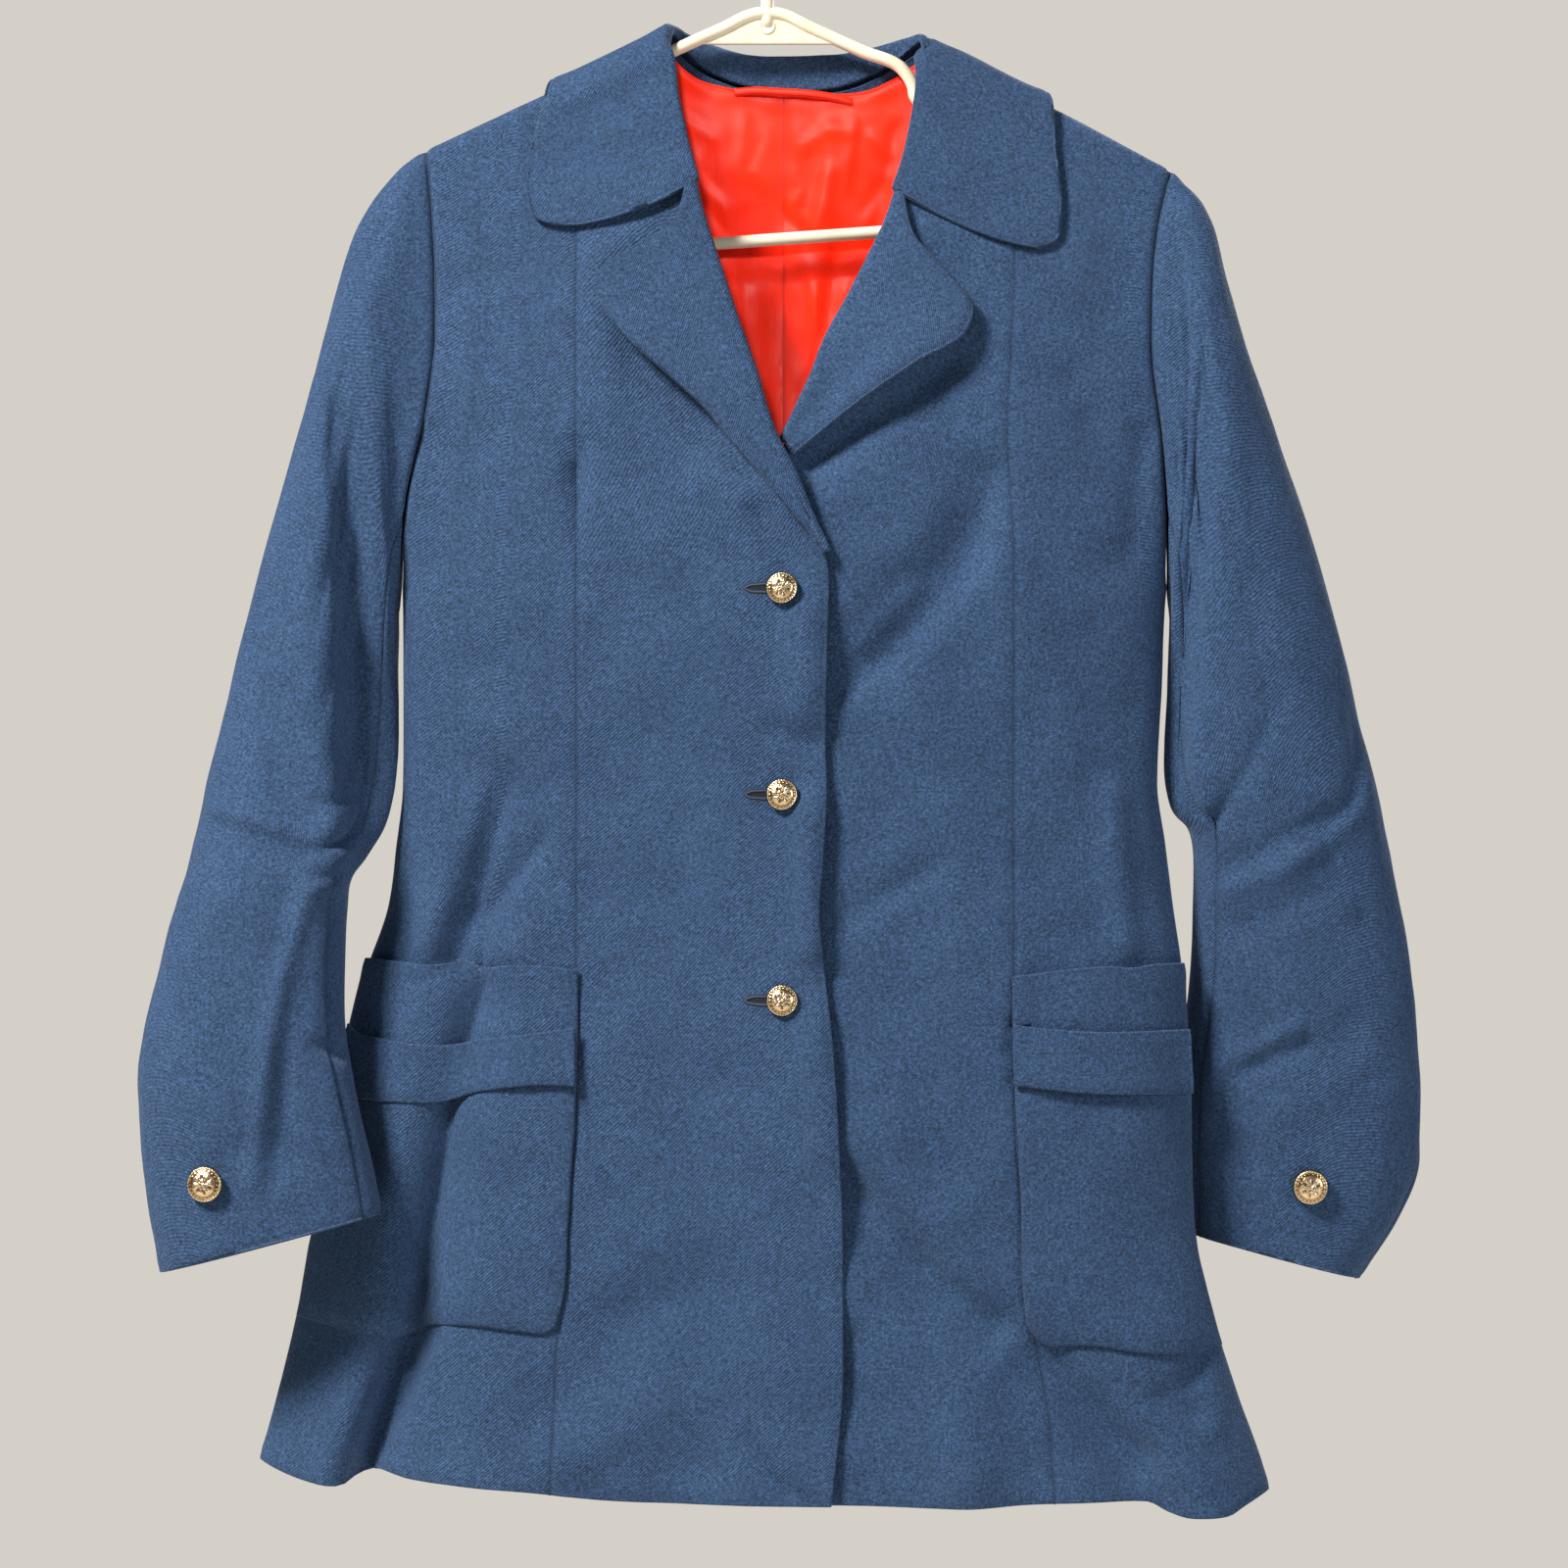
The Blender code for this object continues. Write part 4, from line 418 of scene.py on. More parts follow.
# More folds of the sleeves: share along at start, at end, share round at start, at end, height,
# half width along, half width round
SLEEVE_CREASES = {
    "right": (
        (0.46, 0.47, 0.08, 0.30, 0.8, 0.014, 0.05), (0.60, 0.98, 0.30, 0.32, -1.2, 0.020, 0.022),
        (0.72, 0.98, 0.14, 0.18, 1.2, 0.040, 0.040), (0.10, 0.34, 0.20, 0.27, -1, 0.030, 0.030),
        (0.06, 0.16, 0.10, 0.13, -0.9, 0.012, 0.016), (0.95, 0.99, 0.10, 0.22, -0.7, 0.010, 0.05),
    ),
    "left": (
        (0.045, 0.10, 0.29, 0.35, -1.6, 0.010, 0.014), (0.05, 0.13, 0.245, 0.31, -1.2, 0.008, 0.014),
        (0.05, 0.12, 0.27, 0.33, 1.1, 0.008, 0.012), (0.12, 0.44, 0.20, 0.18, 1.2, 0.030, 0.030),
        (0.60, 0.98, 0.30, 0.34, -1.4, 0.040, 0.030), (0.70, 0.98, 0.16, 0.14, 1.2, 0.040, 0.030),
    ),
}
# Folds of the sleeves' front faces, in the same form as those of the fronts
SLEEVE_FRONT = {
    "right": (
        (-243, -300, -240.5, -420, 1.8, 3.2, 4, 15), (-240.5, -420, -238, -540, 3.2, 2.4, 4, 15),
        (-247, -569, -260, -617, 1.6, 3, 5, 5), (-260, -617, -268, -667, 3, 3.2, 5.5, 5),
        (-268, -667, -273, -726, 3.2, 1.6, 6, 5), (-252, -622, -262, -720, -1.6, -1.8, 6, 6),
        (-294, -536, -249, -552, -2.6, -2.2, 4, 9), (-300, -528, -262, -540, 1.6, 1.2, 4, 5),
        (-250, -553, -229, -547, -1.6, -2.2, 3.4, 4), (-246, -571, -231, -569, 1.6, 1.6, 4, 5),
        (-246, -650, -228, -657, -1.2, -2.8, 3, 4.4), (-312, -590, -276, -640, -1.4, -1.6, 14, 14),
        (-318, -660, -290, -700, 1.6, 1.4, 14, 16), (-272, -700, -232, -716, -1, -1.2, 7, 9),
        (-246, -262, -228, -236, -0.9, -1.3, 12, 12), (-290, -480, -256, -500, -1, -0.8, 8, 9),
    ),
    "left": (
        (220.5, -284, 215.5, -420, 1.2, 2.6, 4, 7), (215.5, -420, 213.5, -536, 2.6, 2, 4, 7),
        (229, -575, 260, -562, 1.2, 2.4, 4, 5), (260, -562, 287, -545, 2.4, 2.4, 4, 5),
        (287, -545, 305, -528, 2.4, 1.4, 4, 5), (234, -561, 288, -531, -1.2, -2.2, 6, 6),
        (240, -594, 290, -568, -1.6, -2.2, 7, 8), (283, -565, 301, -583, 2, 1.6, 3.6, 4.4),
        (239, -661, 273, -642, 1.2, 1.8, 4, 6), (236, -672, 278, -653, -1.6, -2, 5, 6),
        (296, -640, 312, -676, -1.4, -1.4, 9, 10), (262, -690, 312, -664, 1.2, 1.2, 8, 10),
        (228, -700, 262, -724, -1.4, -1, 9, 10), (233, -285, 239, -400, 1.8, 1.4, 7, 12),
        (206, -276, 217, -284, -1.6, -1.2, 3.4, 4), (206, -292, 215, -300, -1.4, -1, 3.4, 4),
        (262, -440, 285, -500, 1.2, 1, 12, 14),
    ),
}
# Side darts of the fronts: height, distance from the centre
DARTS = {
    "right": ((-425, -197.5), (-520, -198.6), (-612, -198.2)),
    "left": ((-425, 198.5), (-520, 193.6), (-612, 203)),
}

# How far a lapel swells in its middle, and how high its outer edge lifts, where along it and how widely
LAPEL_SWELL = {"right": 2.0, "left": 3.0}
LAPEL_LIFT = {"right": (7.5, 0.76, 0.42), "left": (10.0, 0.62, 0.42)}


def spline(keys, values, at, limited=False):
    """A smooth curve through the values at the keys. A limited one never overshoots them."""
    keys = np.asarray(keys, float)
    values = np.asarray(values, float)
    if values.ndim == 1:
        values = values[:, None]
    step = np.diff(keys)[:, None]
    slope = np.diff(values, axis=0) / step
    tangent = np.empty_like(values)
    tangent[0], tangent[-1] = slope[0], slope[-1]
    inner = (step[:-1] * slope[1:] + step[1:] * slope[:-1]) / (step[:-1] + step[1:])
    if limited:
        small = 3 * np.minimum(abs(slope[:-1]), abs(slope[1:]))
        inner = np.where(slope[:-1] * slope[1:] <= 0, 0.0, np.clip(inner, -small, small))
    tangent[1:-1] = inner
    at = np.clip(np.atleast_1d(np.asarray(at, float)), keys[0], keys[-1])
    cell = np.clip(np.searchsorted(keys, at) - 1, 0, len(keys) - 2)
    wide = step[cell]
    t = ((at - keys[cell]) / wide[:, 0])[:, None]
    return (
        values[cell] * (1 + 2 * t) * (1 - t) ** 2
        + tangent[cell] * wide * t * (1 - t) ** 2
        + values[cell + 1] * t * t * (3 - 2 * t)
        + tangent[cell + 1] * wide * t * t * (t - 1)
    )


def read(rows, at):
    """One column of a table read at any key, in the shape of the key."""
    rows = sorted(rows)
    at = np.asarray(at, float)
    found = spline([r[0] for r in rows], [r[1] for r in rows], at.ravel(), limited=True)
    return found[:, 0].reshape(at.shape)


def path(points, share):
    """Points along a smooth path at shares of its length."""
    points = np.asarray(points, float)
    run = np.concatenate([[0], np.cumsum(np.linalg.norm(np.diff(points, axis=0), axis=1))])
    return spline(run / run[-1], points, share)


def ease(low, high, value):
    t = np.clip((value - low) / (high - low), 0, 1)
    return t * t * (3 - 2 * t)


def side_of(x, z):
    """Half width of the body on the side that x lies on."""
    right = read([(r[0], -r[1]) for r in BODY], z)
    left = read([(r[0], r[2]) for r in BODY], z)
    return np.where(x < 0, right, left)


def shoulder_height(x):
    rows = np.array(SHOULDER)
    return np.interp(x, rows[:, 0], rows[:, 1])


def folds(rows, x, z):
    """Troughs and ridges with a half width of their own, or one on each side. A row that starts where the
    one before it ends carries that one on, and the rest fade past both ends if they have two half widths."""
    total, chain = np.zeros_like(x), np.zeros_like(x)
    for index, (x0, z0, x1, z1, start, end, half_a, *half_b) in enumerate(rows):
        joined = index > 0 and rows[index - 1][2:4] == (x0, z0)
        goes_on = index + 1 < len(rows) and rows[index + 1][:2] == (x1, z1)
        dx, dz = x1 - x0, z1 - z0
        length = math.hypot(dx, dz)
        share = ((x - x0) * dx + (z - z0) * dz) / length**2
        held = np.clip(share, 0, 1)
        away = np.hypot(x - x0 - held * dx, z - z0 - held * dz)
        half = half_a
        if half_b:
            side = (x - x0) * dz - (z - z0) * dx
            half = half_a + (half_b[0] - half_a) * ease(-1.0, 1.0, side / length / min(half_a, half_b[0]))
        one = (start + (end - start) * held) * np.exp(-((away / half) ** 2))
        if half_b and not joined:
            one = one * ease(-0.25, 0.12, share)
        if half_b and not goes_on:
            one = one * ease(1.25, 0.88, share)
        if joined:
            chain = np.where(abs(one) > abs(chain), one, chain)
        else:
            total, chain = total + chain, one
    return total + chain


def body_y(face, x, z):
    """Y of the body's middle surface at a place seen from the front: face -1 is front, 1 is back."""
    x, z = np.broadcast_arrays(np.asarray(x, float), np.asarray(z, float))
    across = np.minimum(abs(x) / side_of(x, z), 1.0)
    section = (1 - across**SQUARENESS) ** (1 / SQUARENESS)
    below = np.maximum(shoulder_height(x) - z, 0.0)
    deep = read([(r[0], r[3] if face < 0 else r[4]) for r in BODY], z)
    cap = np.minimum(below, NECK_ROUND) / NECK_ROUND
    rise = NECK_ROUND * np.sqrt(1 - (1 - cap) ** 2)
    rise = rise + (deep - NECK_ROUND) * (1 - np.exp(-((below / SHOULDER_REACH) ** 1.1)))
    press = folds(FRONT_FOLDS if face < 0 else BACK_FOLDS, x, z)
    return face * np.maximum(rise * section + press * np.sqrt(section) * ease(0, 40, below), 0.3)


def lap(side, x, z):
    """The fronts' overlap: the right one lies outside the left one."""
    down = ease(-230, -300, z)
    if side == "right":
        return 4.0 * ease(-60, 10, x) * down
    return -2.2 * ease(60, -10, x) * down


def front_y(side, x, z):
    return body_y(-1, x, z) - lap(side, np.asarray(x, float), np.asarray(z, float))


def normals_of(y_of, face, x, z):
    """Outward normals of a surface given as Y over X and Z."""
    step = 0.4
    slope_x = (y_of(x + step, z) - y_of(x - step, z)) / (2 * step)
    slope_z = (y_of(x, z + step) - y_of(x, z - step)) / (2 * step)
    along_y = ease(0.3, 3.0, abs(y_of(x, z)))
    normal = np.stack([-slope_x, along_y, -slope_z], axis=-1) * face
    normal[..., 2] += 1e-6
    return normal / np.linalg.norm(normal, axis=-1, keepdims=True)


def lay(y_of, face, x, z, out=0.0):
    """Points of a surface moved out along its normals, and the normals."""
    normal = normals_of(y_of, face, x, z)
    middle = np.stack([x, y_of(x, z), z], axis=-1)
    out = np.asarray(out, float)
    return middle + normal * (out[..., None] if out.ndim else out), normal


def patch(inner, outer, bottom, top, across, along):
    """Places inside four edges: rows run from inner to outer, and go up from bottom to top."""
    u = np.asarray(across, float)[None, :, None]
    v = np.asarray(along, float)[:, None, None]
    i, o = inner[:, None, :], outer[:, None, :]
    b, t = bottom[None, :, :], top[None, :, :]
    corners = (1 - u) * (1 - v) * i[:1] + u * (1 - v) * o[:1] + (1 - u) * v * i[-1:] + u * v * o[-1:]
    return (1 - u) * i + u * o + (1 - v) * b + v * t - corners


def grid_normals(points, towards):
    """Normals of rows of points, turned to the side that the given direction looks to."""
    normal = np.cross(np.gradient(points, axis=1), np.gradient(points, axis=0))
    normal /= np.maximum(np.linalg.norm(normal, axis=-1, keepdims=True), 1e-9)
    middle = normal[normal.shape[0] // 2, normal.shape[1] // 2]
    return normal if np.dot(middle, towards) > 0 else -normal


def heights(along, low, middle, high):
    return np.interp(along, [0, UNDERARM_SHARE, 1], [low, middle, high])


def on_curve(rows, at):
    return np.stack([at, read(rows, at)], axis=-1)


def edge_curve(rows, z):
    return np.stack([read(rows, z), z], axis=-1)


def outer_curve(side, along, hem_z, top_z):
    """The side seam up to the underarm, then the armhole edge."""
    sign = SIGN[side]
    z = heights(along, hem_z, UNDERARM, top_z)
    x = np.where(z <= UNDERARM, sign * side_of(np.full_like(z, sign), z), read(ARMHOLE[side], z))
    return np.stack([x, z], axis=-1)


def side_hem(side, hem):
    """Where the side seam meets the hem."""
    sign = SIGN[side]
    z = -880.0
    for _ in range(8):
        x = float(sign * side_of(np.array(float(sign)), np.array(z)))
        z = float(read(hem, np.array(x)))
    return x, z


def lining_depth(x, z):
    """How far the lining lies inside the back."""
    return 2.4 + ease(20, 80, shoulder_height(x) - z) * (2.6 + folds(LINING_FOLDS, x, z))


def sleeve_ring_points(side, degrees):
    """The rings of a sleeve as rows of points, the armhole first, at angles round the sleeve."""
    sign = SIGN[side]
    angle = np.radians(degrees)
    share = (1 - np.cos(angle)) / 2
    front = np.sin(angle) >= 0
    top = sorted(ARMHOLE[side])[-1][0]
    z = top + (UNDERARM + 1.6 - top) * share
    x = read(ARMHOLE[side], z)
    y = np.where(front, front_y(side, x, z), body_y(1, x, z)) * np.minimum(1, abs(np.sin(angle)) * 3)
    x = x + sign * (0.2 + 2.2 * share**6)
    rows = [np.stack([x, y, z], axis=-1)]
    for ox, oz, ix, iz, mid, deep_front, deep_back, crease, amount in SLEEVES[side]:
        bulge = (1 - abs(2 * share - 1) ** 2.2) ** (1 / 2.2)
        tuck = 1 - 0.78 * amount * ease(crease, crease + 0.09, share)
        y = mid + np.where(front, -deep_front * bulge * tuck, deep_back * bulge)
        rows.append(np.stack([ox + (ix - ox) * share, y, oz + (iz - oz) * share], axis=-1))
    return np.array(rows)


def sleeve_points(side, degrees_at, ring_shares):
    """A sleeve's points: rows along it, columns round it at angles that may change along it."""
    rings = len(SLEEVES[side]) + 1
    keys = np.linspace(0, 1, rings)
    rows = []
    for share in ring_shares:
        degrees = degrees_at(share)
        spots = sleeve_ring_points(side, degrees)
        rows.append(spline(keys, spots.reshape(rings, -1), [share])[0].reshape(-1, 3))
    return np.array(rows)


def body_samples():
    """Points and outward normals over the upper body, close together at the shoulder's crest."""
    below = 0.05 + 113.0 * np.linspace(0, 1, 22) ** 2.1
    across, below = np.meshgrid(np.linspace(-160, 170, 111), below)
    height = shoulder_height(across) - below
    found = [lay(lambda x, z: body_y(f, x, z), f, across, height) for f in (-1, 1)]
    spots = np.concatenate([p.reshape(-1, 3) for p, _ in found])
    return spots, np.concatenate([n.reshape(-1, 3) for _, n in found])


def pocket_places(side, across, along):
    shape = POCKETS[side]
    sign = SIGN[side]
    inner = path(shape["inner"], along)
    z = np.interp(along, [0, 1], [shape["bottom"][-1][1], shape["top"][-1][1]])
    outer = np.stack([sign * side_of(np.full_like(z, sign), z) * 0.987, z], axis=-1)
    bottom = path(shape["bottom"], across)
    top = path(shape["top"], across)
    bottom[-1], top[-1] = outer[0], outer[-1]
    return patch(inner, outer, bottom, top, across, along)


def pocket_stand(across, along):
    """How far a pocket swells from the front under it."""
    return 2.2 * np.sin(np.pi * across) ** 0.8 * (0.35 + 0.65 * along)


def frame_at(normal):
    normal = np.asarray(normal, float)
    right = np.cross(normal, (0, 0, 1))
    right /= np.linalg.norm(right)
    return right, np.cross(right, normal), normal


def hanger_half(sign):
    """Half of the hanger's outline from the apex to the middle of the bar, which is a little tilted."""
    arm = [(5.0, APEX_HEIGHT - 2.6)]
    for d in (24, 50, 72):
        arm.append((d, APEX_HEIGHT - ARM_SLOPE * d))
    arm += [(77.5, -146.0), (79.0, -152.5), (83.0, -155.4), (87.0, -153.5), (89.5, -149.4)]
    arm.append((95.0, -148.4))
    for d in (120, 150, 172):
        arm.append((d, APEX_HEIGHT - ARM_SLOPE * d - 0.4))
    arm += [(178.0, -188.6), (183.0, -197.0), (183.4, -207.5), (179.0, -218.0), (170.0, -225.4)]
    arm += [(158.0, BAR_HEIGHT), (100.0, BAR_HEIGHT), (40.0, BAR_HEIGHT)]
    return [
        (HANGER_X + sign * d, z + sign * d * BAR_TILT * float(ease(-186, -224, z))) for d, z in arm
    ]


def ripple(x, z, seed):
    """Slight unevenness of cloth that has been worn and hung."""
    total = np.zeros_like(x)
    waves = ((92.0, 0.5), (61.0, 0.34), (41.0, 0.2), (27.0, 0.1), (17.0, 0.05))
    for k, (length, high) in enumerate(waves):
        for j in range(2):
            turn = seed * 1.7 + k * 2.1 + j * 1.3
            bend = np.sin((x * math.sin(turn) - z * math.cos(turn)) * 2.1 / length + seed + j)
            along = (x * math.cos(turn) + z * math.sin(turn)) * 6.28 / length
            total += high * np.sin(along + bend * 1.4 + turn)
    return total


def graded(length, low=True, high=True, fine=FINE, coarse=COARSE):
    """Shares along a length, close together at the ends that have an edge or a seam."""
    ends, step = [0.0], fine
    while step < coarse and ends[-1] < length * 0.3:
        ends.append(ends[-1] + step)
        step *= 1.3
    first = ends if low else [0.0]
    last = [length - e for e in reversed(ends)] if high else [length]
    count = max(2, int(math.ceil((last[0] - first[-1]) / coarse)) + 1)
    middle = np.linspace(first[-1], last[0], count)[1:-1]
    return np.array(list(first) + list(middle) + list(last)) / length


def body_rows():
    """Shares of a body piece's height, close together at the hem and at the shoulder."""
    lower = graded(BELOW_UNDERARM, high=False) * UNDERARM_SHARE
    rest = np.arange(CREST[-1] + COARSE, ABOVE_UNDERARM - 1.0, COARSE)
    upper = 1 - (1 - UNDERARM_SHARE) * np.concatenate([CREST, rest])[::-1] / ABOVE_UNDERARM
    return np.concatenate([lower, upper])


def arcs(points):
    """Lengths across and along a grid of points, from its first column and its first row."""
    across = np.linalg.norm(np.diff(points, axis=1), axis=-1)
    along = np.linalg.norm(np.diff(points, axis=0), axis=-1)
    zero_a, zero_b = np.zeros((points.shape[0], 1)), np.zeros((1, points.shape[1]))
    return (
        np.concatenate([zero_a, np.cumsum(across, axis=1)], axis=1),
        np.concatenate([zero_b, np.cumsum(along, axis=0)], axis=0),
    )


def pressed(points, normal, edges, seed=0.0):
    """Points with their seams drawn in and their turned edges pressed, and how much painted shade each gets in
    its seams, beside its pressed edges and where it is sewn down.
    Edges: first column, last column, first row, last row, each a kind of seam or edge, or None."""
    across, along = arcs(points)
    gaps = (across, across[:, -1:] - across, along, along[-1:] - along)
    runs = (along, along, across, across)
    shift, shade = np.zeros(across.shape), np.zeros(across.shape)
    for kind, gap, run in zip(edges, gaps, runs):
        if kind is None:
            continue
        uneven = np.sin(run / 5.3 + seed) + np.sin(run / 8.9 + 2.2 * seed)
        uneven = uneven + np.sin(run / 3.1 + 0.4 + seed)
        # The shade added below is painted shade: a line of shade down each seam, beside each pressed edge and
        # along each sewn edge.
        if kind in ("seam", "armhole", "lapped"):
            deep = 1.1 if kind == "armhole" else 0.3
            shift -= deep * np.exp(-((gap / 1.6) ** 2)) - 0.2 * np.exp(-(((gap - 6.0) / 2.6) ** 2))
            shift += 0.035 * uneven * np.exp(-((gap / 8.0) ** 2))
            shade += (0.45 + 0.3 * deep) * np.exp(-((gap / 0.9) ** 2))
        elif kind == "edge":
            shift += 0.3 * np.exp(-(((gap - 5.0) / 4.0) ** 2))
            shift -= 0.25 * np.exp(-(((gap - 1.9) / 0.8) ** 2))
            shift += 0.05 * uneven * np.exp(-((gap / 9.0) ** 2))
            shade += 0.25 * np.exp(-(((gap - 2.0) / 0.8) ** 2))
        elif kind == "sewn":
            shift += 0.05 * uneven * np.exp(-((gap / 7.0) ** 2))
            shade += 0.3 * np.exp(-((gap / 0.8) ** 2))
    return points + normal * shift[..., None], shade


def shell(name, middle, normal, thick, skin, shade=None, edges=("edge",) * 4, rim=0.0):
    """A sheet of cloth with rounded edges from rows of middle points, with painted shade at its points. A
    seam's edge runs into its neighbour. Rim adds painted shade on the rounded edges as an outline.
    """
    rows, cols = middle.shape[:2]
    half = np.broadcast_to(np.asarray(thick, float) / 2, (rows, cols))[..., None]
    across, along = arcs(middle)
    if shade is None:
        shade = np.zeros((rows, cols))
    up, right = np.arange(1, rows), np.arange(cols)
    r = np.concatenate([0 * right, up, np.full(cols - 1, rows - 1), up[-2::-1]])
    c = np.concatenate([right, np.full(rows - 1, cols - 1), right[-2::-1], 0 * up[:-1]])
    out = middle[r, c] - middle[np.clip(r, 1, rows - 2), np.clip(c, 1, cols - 2)]
    out -= normal[r, c] * (out * normal[r, c]).sum(axis=1, keepdims=True)
    out /= np.maximum(np.linalg.norm(out, axis=1, keepdims=True), 1e-9)
    rim_half = half[r, c]
    inset = np.full((rows, cols), 0.8)
    draw = {"seam": 0.3, "armhole": 0.3, "lapped": -0.9, "edge": 0.8, "sewn": 0.8, None: 0.0}
    inset[0], inset[-1] = draw[edges[2]], draw[edges[3]]
    inset[:, 0], inset[:, -1] = draw[edges[0]], draw[edges[1]]
    middle = middle.copy()
    middle[r, c] -= out * rim_half * inset[r, c][:, None]
    top, low = middle + normal * half, middle - normal * half
    points = [top.reshape(-1, 3), low.reshape(-1, 3)]
    for turn in np.radians((40, 90, 140)):
        lift = normal[r, c] * rim_half * math.cos(turn)
        points.append(middle[r, c] + lift + out * rim_half * math.sin(turn))
    grid = np.arange(rows * cols).reshape(rows, cols)
    a, b, d, e = grid[:-1, :-1], grid[:-1, 1:], grid[1:, 1:], grid[1:, :-1]
    faces = [np.stack([a, b, d, e], axis=-1).reshape(-1, 4)]
    faces.append(np.stack([a, e, d, b], axis=-1).reshape(-1, 4) + rows * cols)
    count = len(r)
    rims = [grid[r, c]] + [2 * rows * cols + k * count + np.arange(count) for k in range(3)]
    rims.append(grid[r, c] + rows * cols)
    for one, two in zip(rims[:-1], rims[1:]):
        faces.append(np.stack([one, two, np.roll(two, -1), np.roll(one, -1)], axis=-1))
    flat = np.stack([across, along], axis=-1).reshape(-1, 2)
    edge = flat[grid[r, c]]
    uv = np.concatenate([flat, flat, edge, edge, edge])
    # Painted shade on the rounded rim: half on its inner row, full on its middle and outer rows.
    turned = [shade[r, c] + rim * 0.5, shade[r, c] + rim, shade[r, c] + rim]
    marks = np.concatenate([shade.reshape(-1), shade.reshape(-1)] + turned)
    return mesh_piece(name, np.concatenate(points), np.concatenate(faces), skin, uv, marks)


def mesh_piece(name, points, faces, skin, uv, marks):
    """A closed mesh, its faces turned outwards, with cloth coordinates and painted shade at each point."""
    fan = np.concatenate([points[faces[:, :3]], points[faces[:, [0, 2, 3]]]])
    if np.linalg.det(fan).sum() < 0:
        faces = faces[:, ::-1]
    mesh = bpy.data.meshes.new(name)
    mesh.from_pydata((points * MM).tolist(), [], faces.tolist())
    index = np.empty(len(mesh.loops), int)
    mesh.loops.foreach_get("vertex_index", index)
    mesh.uv_layers.new(name="cloth").data.foreach_set("uv", (uv[index] * MM).ravel())
    return placed(name, mesh, skin, marks)


def placed(name, mesh, skin, marks=None, kind="seam", smooth=True):
    """An object in the scene from a mesh, with its material and perhaps a value at each point."""
    mesh.polygons.foreach_set("use_smooth", np.full(len(mesh.polygons), smooth))
    if marks is not None:
        values = np.asarray(marks, float)
        mesh.attributes.new(kind, "FLOAT", "POINT").data.foreach_set("value", values)
    mesh.materials.append(skin)
    obj = bpy.data.objects.new(name, mesh)
    bpy.context.scene.collection.objects.link(obj)
    return obj


def ring_faces(count, turns, closed=False):
    """Faces between rings that all have the same number of points."""
    grid = np.arange(count * turns).reshape(count, turns)
    first, last = (grid, np.roll(grid, -1, axis=0)) if closed else (grid[:-1], grid[1:])
    corners = [first, np.roll(first, -1, axis=1), np.roll(last, -1, axis=1), last]
    return np.stack(corners, axis=-1).reshape(-1, 4)


def wear(obj, slot, *nodes):
    """Fastens a piece to the body and hides the plain solids that it stands for."""
    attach(obj, "root")
    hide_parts(*nodes)
    return obj


def cloth(obj, slot, node):
    wear(obj, slot, node)
    return obj


def groove(rows, x, z, deep, half):
    """A seam line down a panel: its depth, and how much painted shade it gets."""
    off = (x - read(rows, z)) / half
    ends = ease(rows[0][0] + 2, rows[0][0] - 10, z) * ease(rows[-1][0] - 2, rows[-1][0] + 4, z)
    return -deep * np.exp(-(off**2)) * ends, np.exp(-(off**2)) * ends


def held_at_seams(x, z):
    """Share of a fine crease that is left beside the side seam and the shoulder, where the parts meet."""
    below = np.maximum(shoulder_height(x) - z, 0.0)
    return ease(6, 60, below) * ease(0.995, 0.90, np.minimum(abs(x) / side_of(x, z), 1.0))


def front_shift(side, x, z):
    """What the fronts' finer creases add to the height of the cloth."""
    seed = 1.0 if side == "right" else 2.0
    shift = BODY_CREASE * folds(FRONT_CREASES[side], x, z) + ripple(x, z, seed)
    return shift * held_at_seams(x, z)


def fine_front_y(side, x, z):
    return front_y(side, x, z) - front_shift(side, x, z)


def fine_back_y(x, z):
    shift = BODY_CREASE * folds(BACK_CREASES, x, z) + ripple(x, z, 3.0)
    return body_y(1, x, z) + shift * held_at_seams(x, z)


def front_part(side, name, inner, outer, hem, top, wide, edges, seed, dart=()):
    """One part of a front between two edges, with where its hem and its shoulder seam start and end."""
    u = graded(wide)
    x_bottom, x_top = (first + (last - first) * u for first, last in (hem, top))
    seam = np.stack([x_top, shoulder_height(x_top)], axis=-1)
    places = patch(inner, outer, on_curve(HEM_FRONT, x_bottom), seam, u, body_rows())
    middle, normal = lay(lambda x, z: fine_front_y(side, x, z), -1, places[..., 0], places[..., 1])
    middle, shade = pressed(middle, normal, edges, seed)
    if dart:
        # Painted shade along the dart's groove.
        deep, painted_shade = groove(dart, middle[..., 0], middle[..., 2], 0.4, 1.3)
        middle, shade = middle + normal * deep[..., None], shade + 0.3 * painted_shade
    obj = shell("%s_panel_%s" % (name, side), middle, normal, OUTER, WOOL, shade, edges)
    cloth(obj, "blue_wool", "%s_%s" % (name, side))


def front_pieces(side):
    """The centre part of a front and the part between its princess seam and the side."""
    edge, princess = EDGES[side], PRINCESS[side]
    neck_z, neck_x = sorted(edge)[-1]
    point_z, point_x = sorted(ARMHOLE[side])[-1]
    along = body_rows()

    def upwards(rows, x_at_hem, top):
        low = float(read(HEM_FRONT, np.array(x_at_hem)))
        return edge_curve(rows, heights(along, low, UNDERARM + 4, top))

    inner = upwards(edge, edge[0][1], neck_z)
    seam = upwards(princess, float(read(princess, np.array(PRINCESS_FOOT))), princess[-1][0])
    front_part(side, "front", inner, seam, (inner[0, 0], seam[0, 0]), (neck_x, seam[-1, 0]),
               FRONT_WIDE, ("edge", "seam", "edge", "seam"), 1.0)
    side_x, side_z = side_hem(side, HEM_FRONT)
    outer = outer_curve(side, along, side_z, point_z)
    front_part(side, "side_front", seam, outer, (seam[0, 0], side_x), (seam[-1, 0], point_x),
               SIDE_WIDE, ("seam", "armhole", "edge", "seam"), 2.0, DARTS[side])


